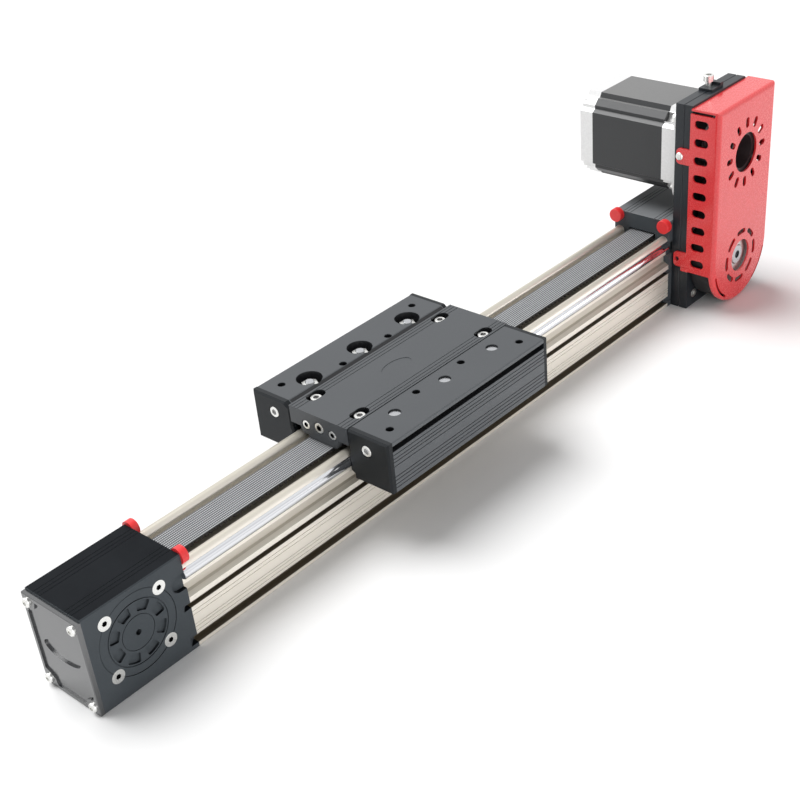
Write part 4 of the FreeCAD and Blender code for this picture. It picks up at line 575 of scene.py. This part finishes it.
# Floor: a plain white studio floor with a matt finish, which lies just below
# the part's feet.
FLOOR_HALF = 6.0
FLOOR_DROP = 0.0004
FLOOR_WHITE = (0.93, 0.93, 0.93, 1.0)
FLOOR_SHADE = (0.91, 0.91, 0.91, 1.0)
FLOOR_CLOUD = (3.0, 3.0, 3.0)
FLOOR_SPECULAR = 0.2
FLOOR_ROUGH = 0.75
FLOOR_ROUGH_CLOUD = 0.05
bpy.ops.object.select_all(action="DESELECT")
bpy.ops.mesh.primitive_plane_add(size=2 * FLOOR_HALF, location=(0, 0, -FLOOR_DROP))
floor = bpy.context.object
floor.name = "studio_floor"
look = Look("floor_white", 0.0, FLOOR_SPECULAR)
cloud = look.noise(FLOOR_CLOUD)
look.colour(look.blend(cloud, FLOOR_SHADE, FLOOR_WHITE))
look.rough(FLOOR_ROUGH + cloud * FLOOR_ROUGH_CLOUD)
floor.data.materials.append(look.material)
floor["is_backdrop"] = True

# Walls: the camera and mirror-like surfaces see pure white, while the soft
# light that the walls give is weaker, so that the floor keeps a shadow.
WALL_COLOUR = (1.0, 1.0, 1.0, 1.0)
WALL_LIGHT = 0.31
WALL_SHOWN = 1.0
world = bpy.data.worlds.new("studio_white")
bpy.context.scene.world = world
world.use_nodes = True
tree = world.node_tree
tree.nodes.clear()
path = tree.nodes.new("ShaderNodeLightPath")
seen = path.outputs["Is Camera Ray"]
for kind in ("Is Glossy Ray", "Is Transmission Ray"):
    either = tree.nodes.new("ShaderNodeMath")
    either.operation = "MAXIMUM"
    tree.links.new(seen, either.inputs[0])
    tree.links.new(path.outputs[kind], either.inputs[1])
    seen = either.outputs[0]
pick = tree.nodes.new("ShaderNodeMixShader")
tree.links.new(seen, pick.inputs[0])
for slot, strength in ((1, WALL_LIGHT), (2, WALL_SHOWN)):
    walls = tree.nodes.new("ShaderNodeBackground")
    walls.inputs["Color"].default_value = WALL_COLOUR
    walls.inputs["Strength"].default_value = strength
    tree.links.new(walls.outputs[0], pick.inputs[slot])
out = tree.nodes.new("ShaderNodeOutputWorld")
tree.links.new(pick.outputs[0], out.inputs["Surface"])


def hang(name, light, ahead):
    """A staged lamp that shines along a direction."""
    holder = bpy.data.objects.new(name, light)
    bpy.context.scene.collection.objects.link(holder)
    holder.rotation_mode = "QUATERNION"
    holder.rotation_quaternion = ahead.to_track_quat("-Z", "Y")
    holder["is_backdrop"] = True
    return holder


# Lamps: one broad soft light high behind the far side, and two weak panels
# low in front of the near side. Each panel has a place, an aim, a size and a
# power.
SKYLIGHT_POWER = 3.1
SKYLIGHT_SPREAD = 0.8
SKYLIGHT_FROM = Vector((-0.06, 0.48, 0.87))
PANELS = (
    ("lamp_front", Vector((-0.9, -2.6, 0.55)), Vector((0.0, 0.0, 0.05)), 1.8, 21.0),
    ("lamp_side", Vector((1.5, -1.6, 0.45)), Vector((0.38, -0.08, 0.12)), 0.7, 5.0),
)
skylight = bpy.data.lights.new("lamp_high", "SUN")
skylight.energy = SKYLIGHT_POWER
skylight.angle = SKYLIGHT_SPREAD
hang("lamp_high", skylight, -SKYLIGHT_FROM)
for name, spot, aim, size, power in PANELS:
    panel = bpy.data.lights.new(name, "AREA")
    panel.energy = power
    panel.size = size
    hang(name, panel, aim - spot).location = spot

# Camera: at the photograph's angle, found from the edges and holes of the
# part, with a normal lens and a little upward shift.
CAMERA_PLACE = Vector((-0.7867, -0.7295, 0.6987))
CAMERA_RIGHT = Vector((0.66239, -0.7443, -0.0852))
CAMERA_DOWN = Vector((-0.47202, -0.32633, -0.81897))
CAMERA_AHEAD = Vector((0.58176, 0.58269, -0.56748))
CAMERA_LENS = 62.90
CAMERA_SENSOR = 36.0
CAMERA_SHIFT = 0.1
CAMERA_NEAR = 0.01
CAMERA_FAR = 50.0
camera_data = bpy.data.cameras.new("camera")
camera_data.lens = CAMERA_LENS
camera_data.sensor_width = CAMERA_SENSOR
camera_data.shift_y = CAMERA_SHIFT
camera_data.clip_start = CAMERA_NEAR
camera_data.clip_end = CAMERA_FAR
camera = bpy.data.objects.new("camera", camera_data)
bpy.context.scene.collection.objects.link(camera)
turn = Matrix((CAMERA_RIGHT, -CAMERA_DOWN, -CAMERA_AHEAD)).transposed().to_4x4()
camera.matrix_world = Matrix.Translation(CAMERA_PLACE) @ turn
bpy.context.scene.camera = camera
bpy.context.scene.view_settings.view_transform = "Standard"

low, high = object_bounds()
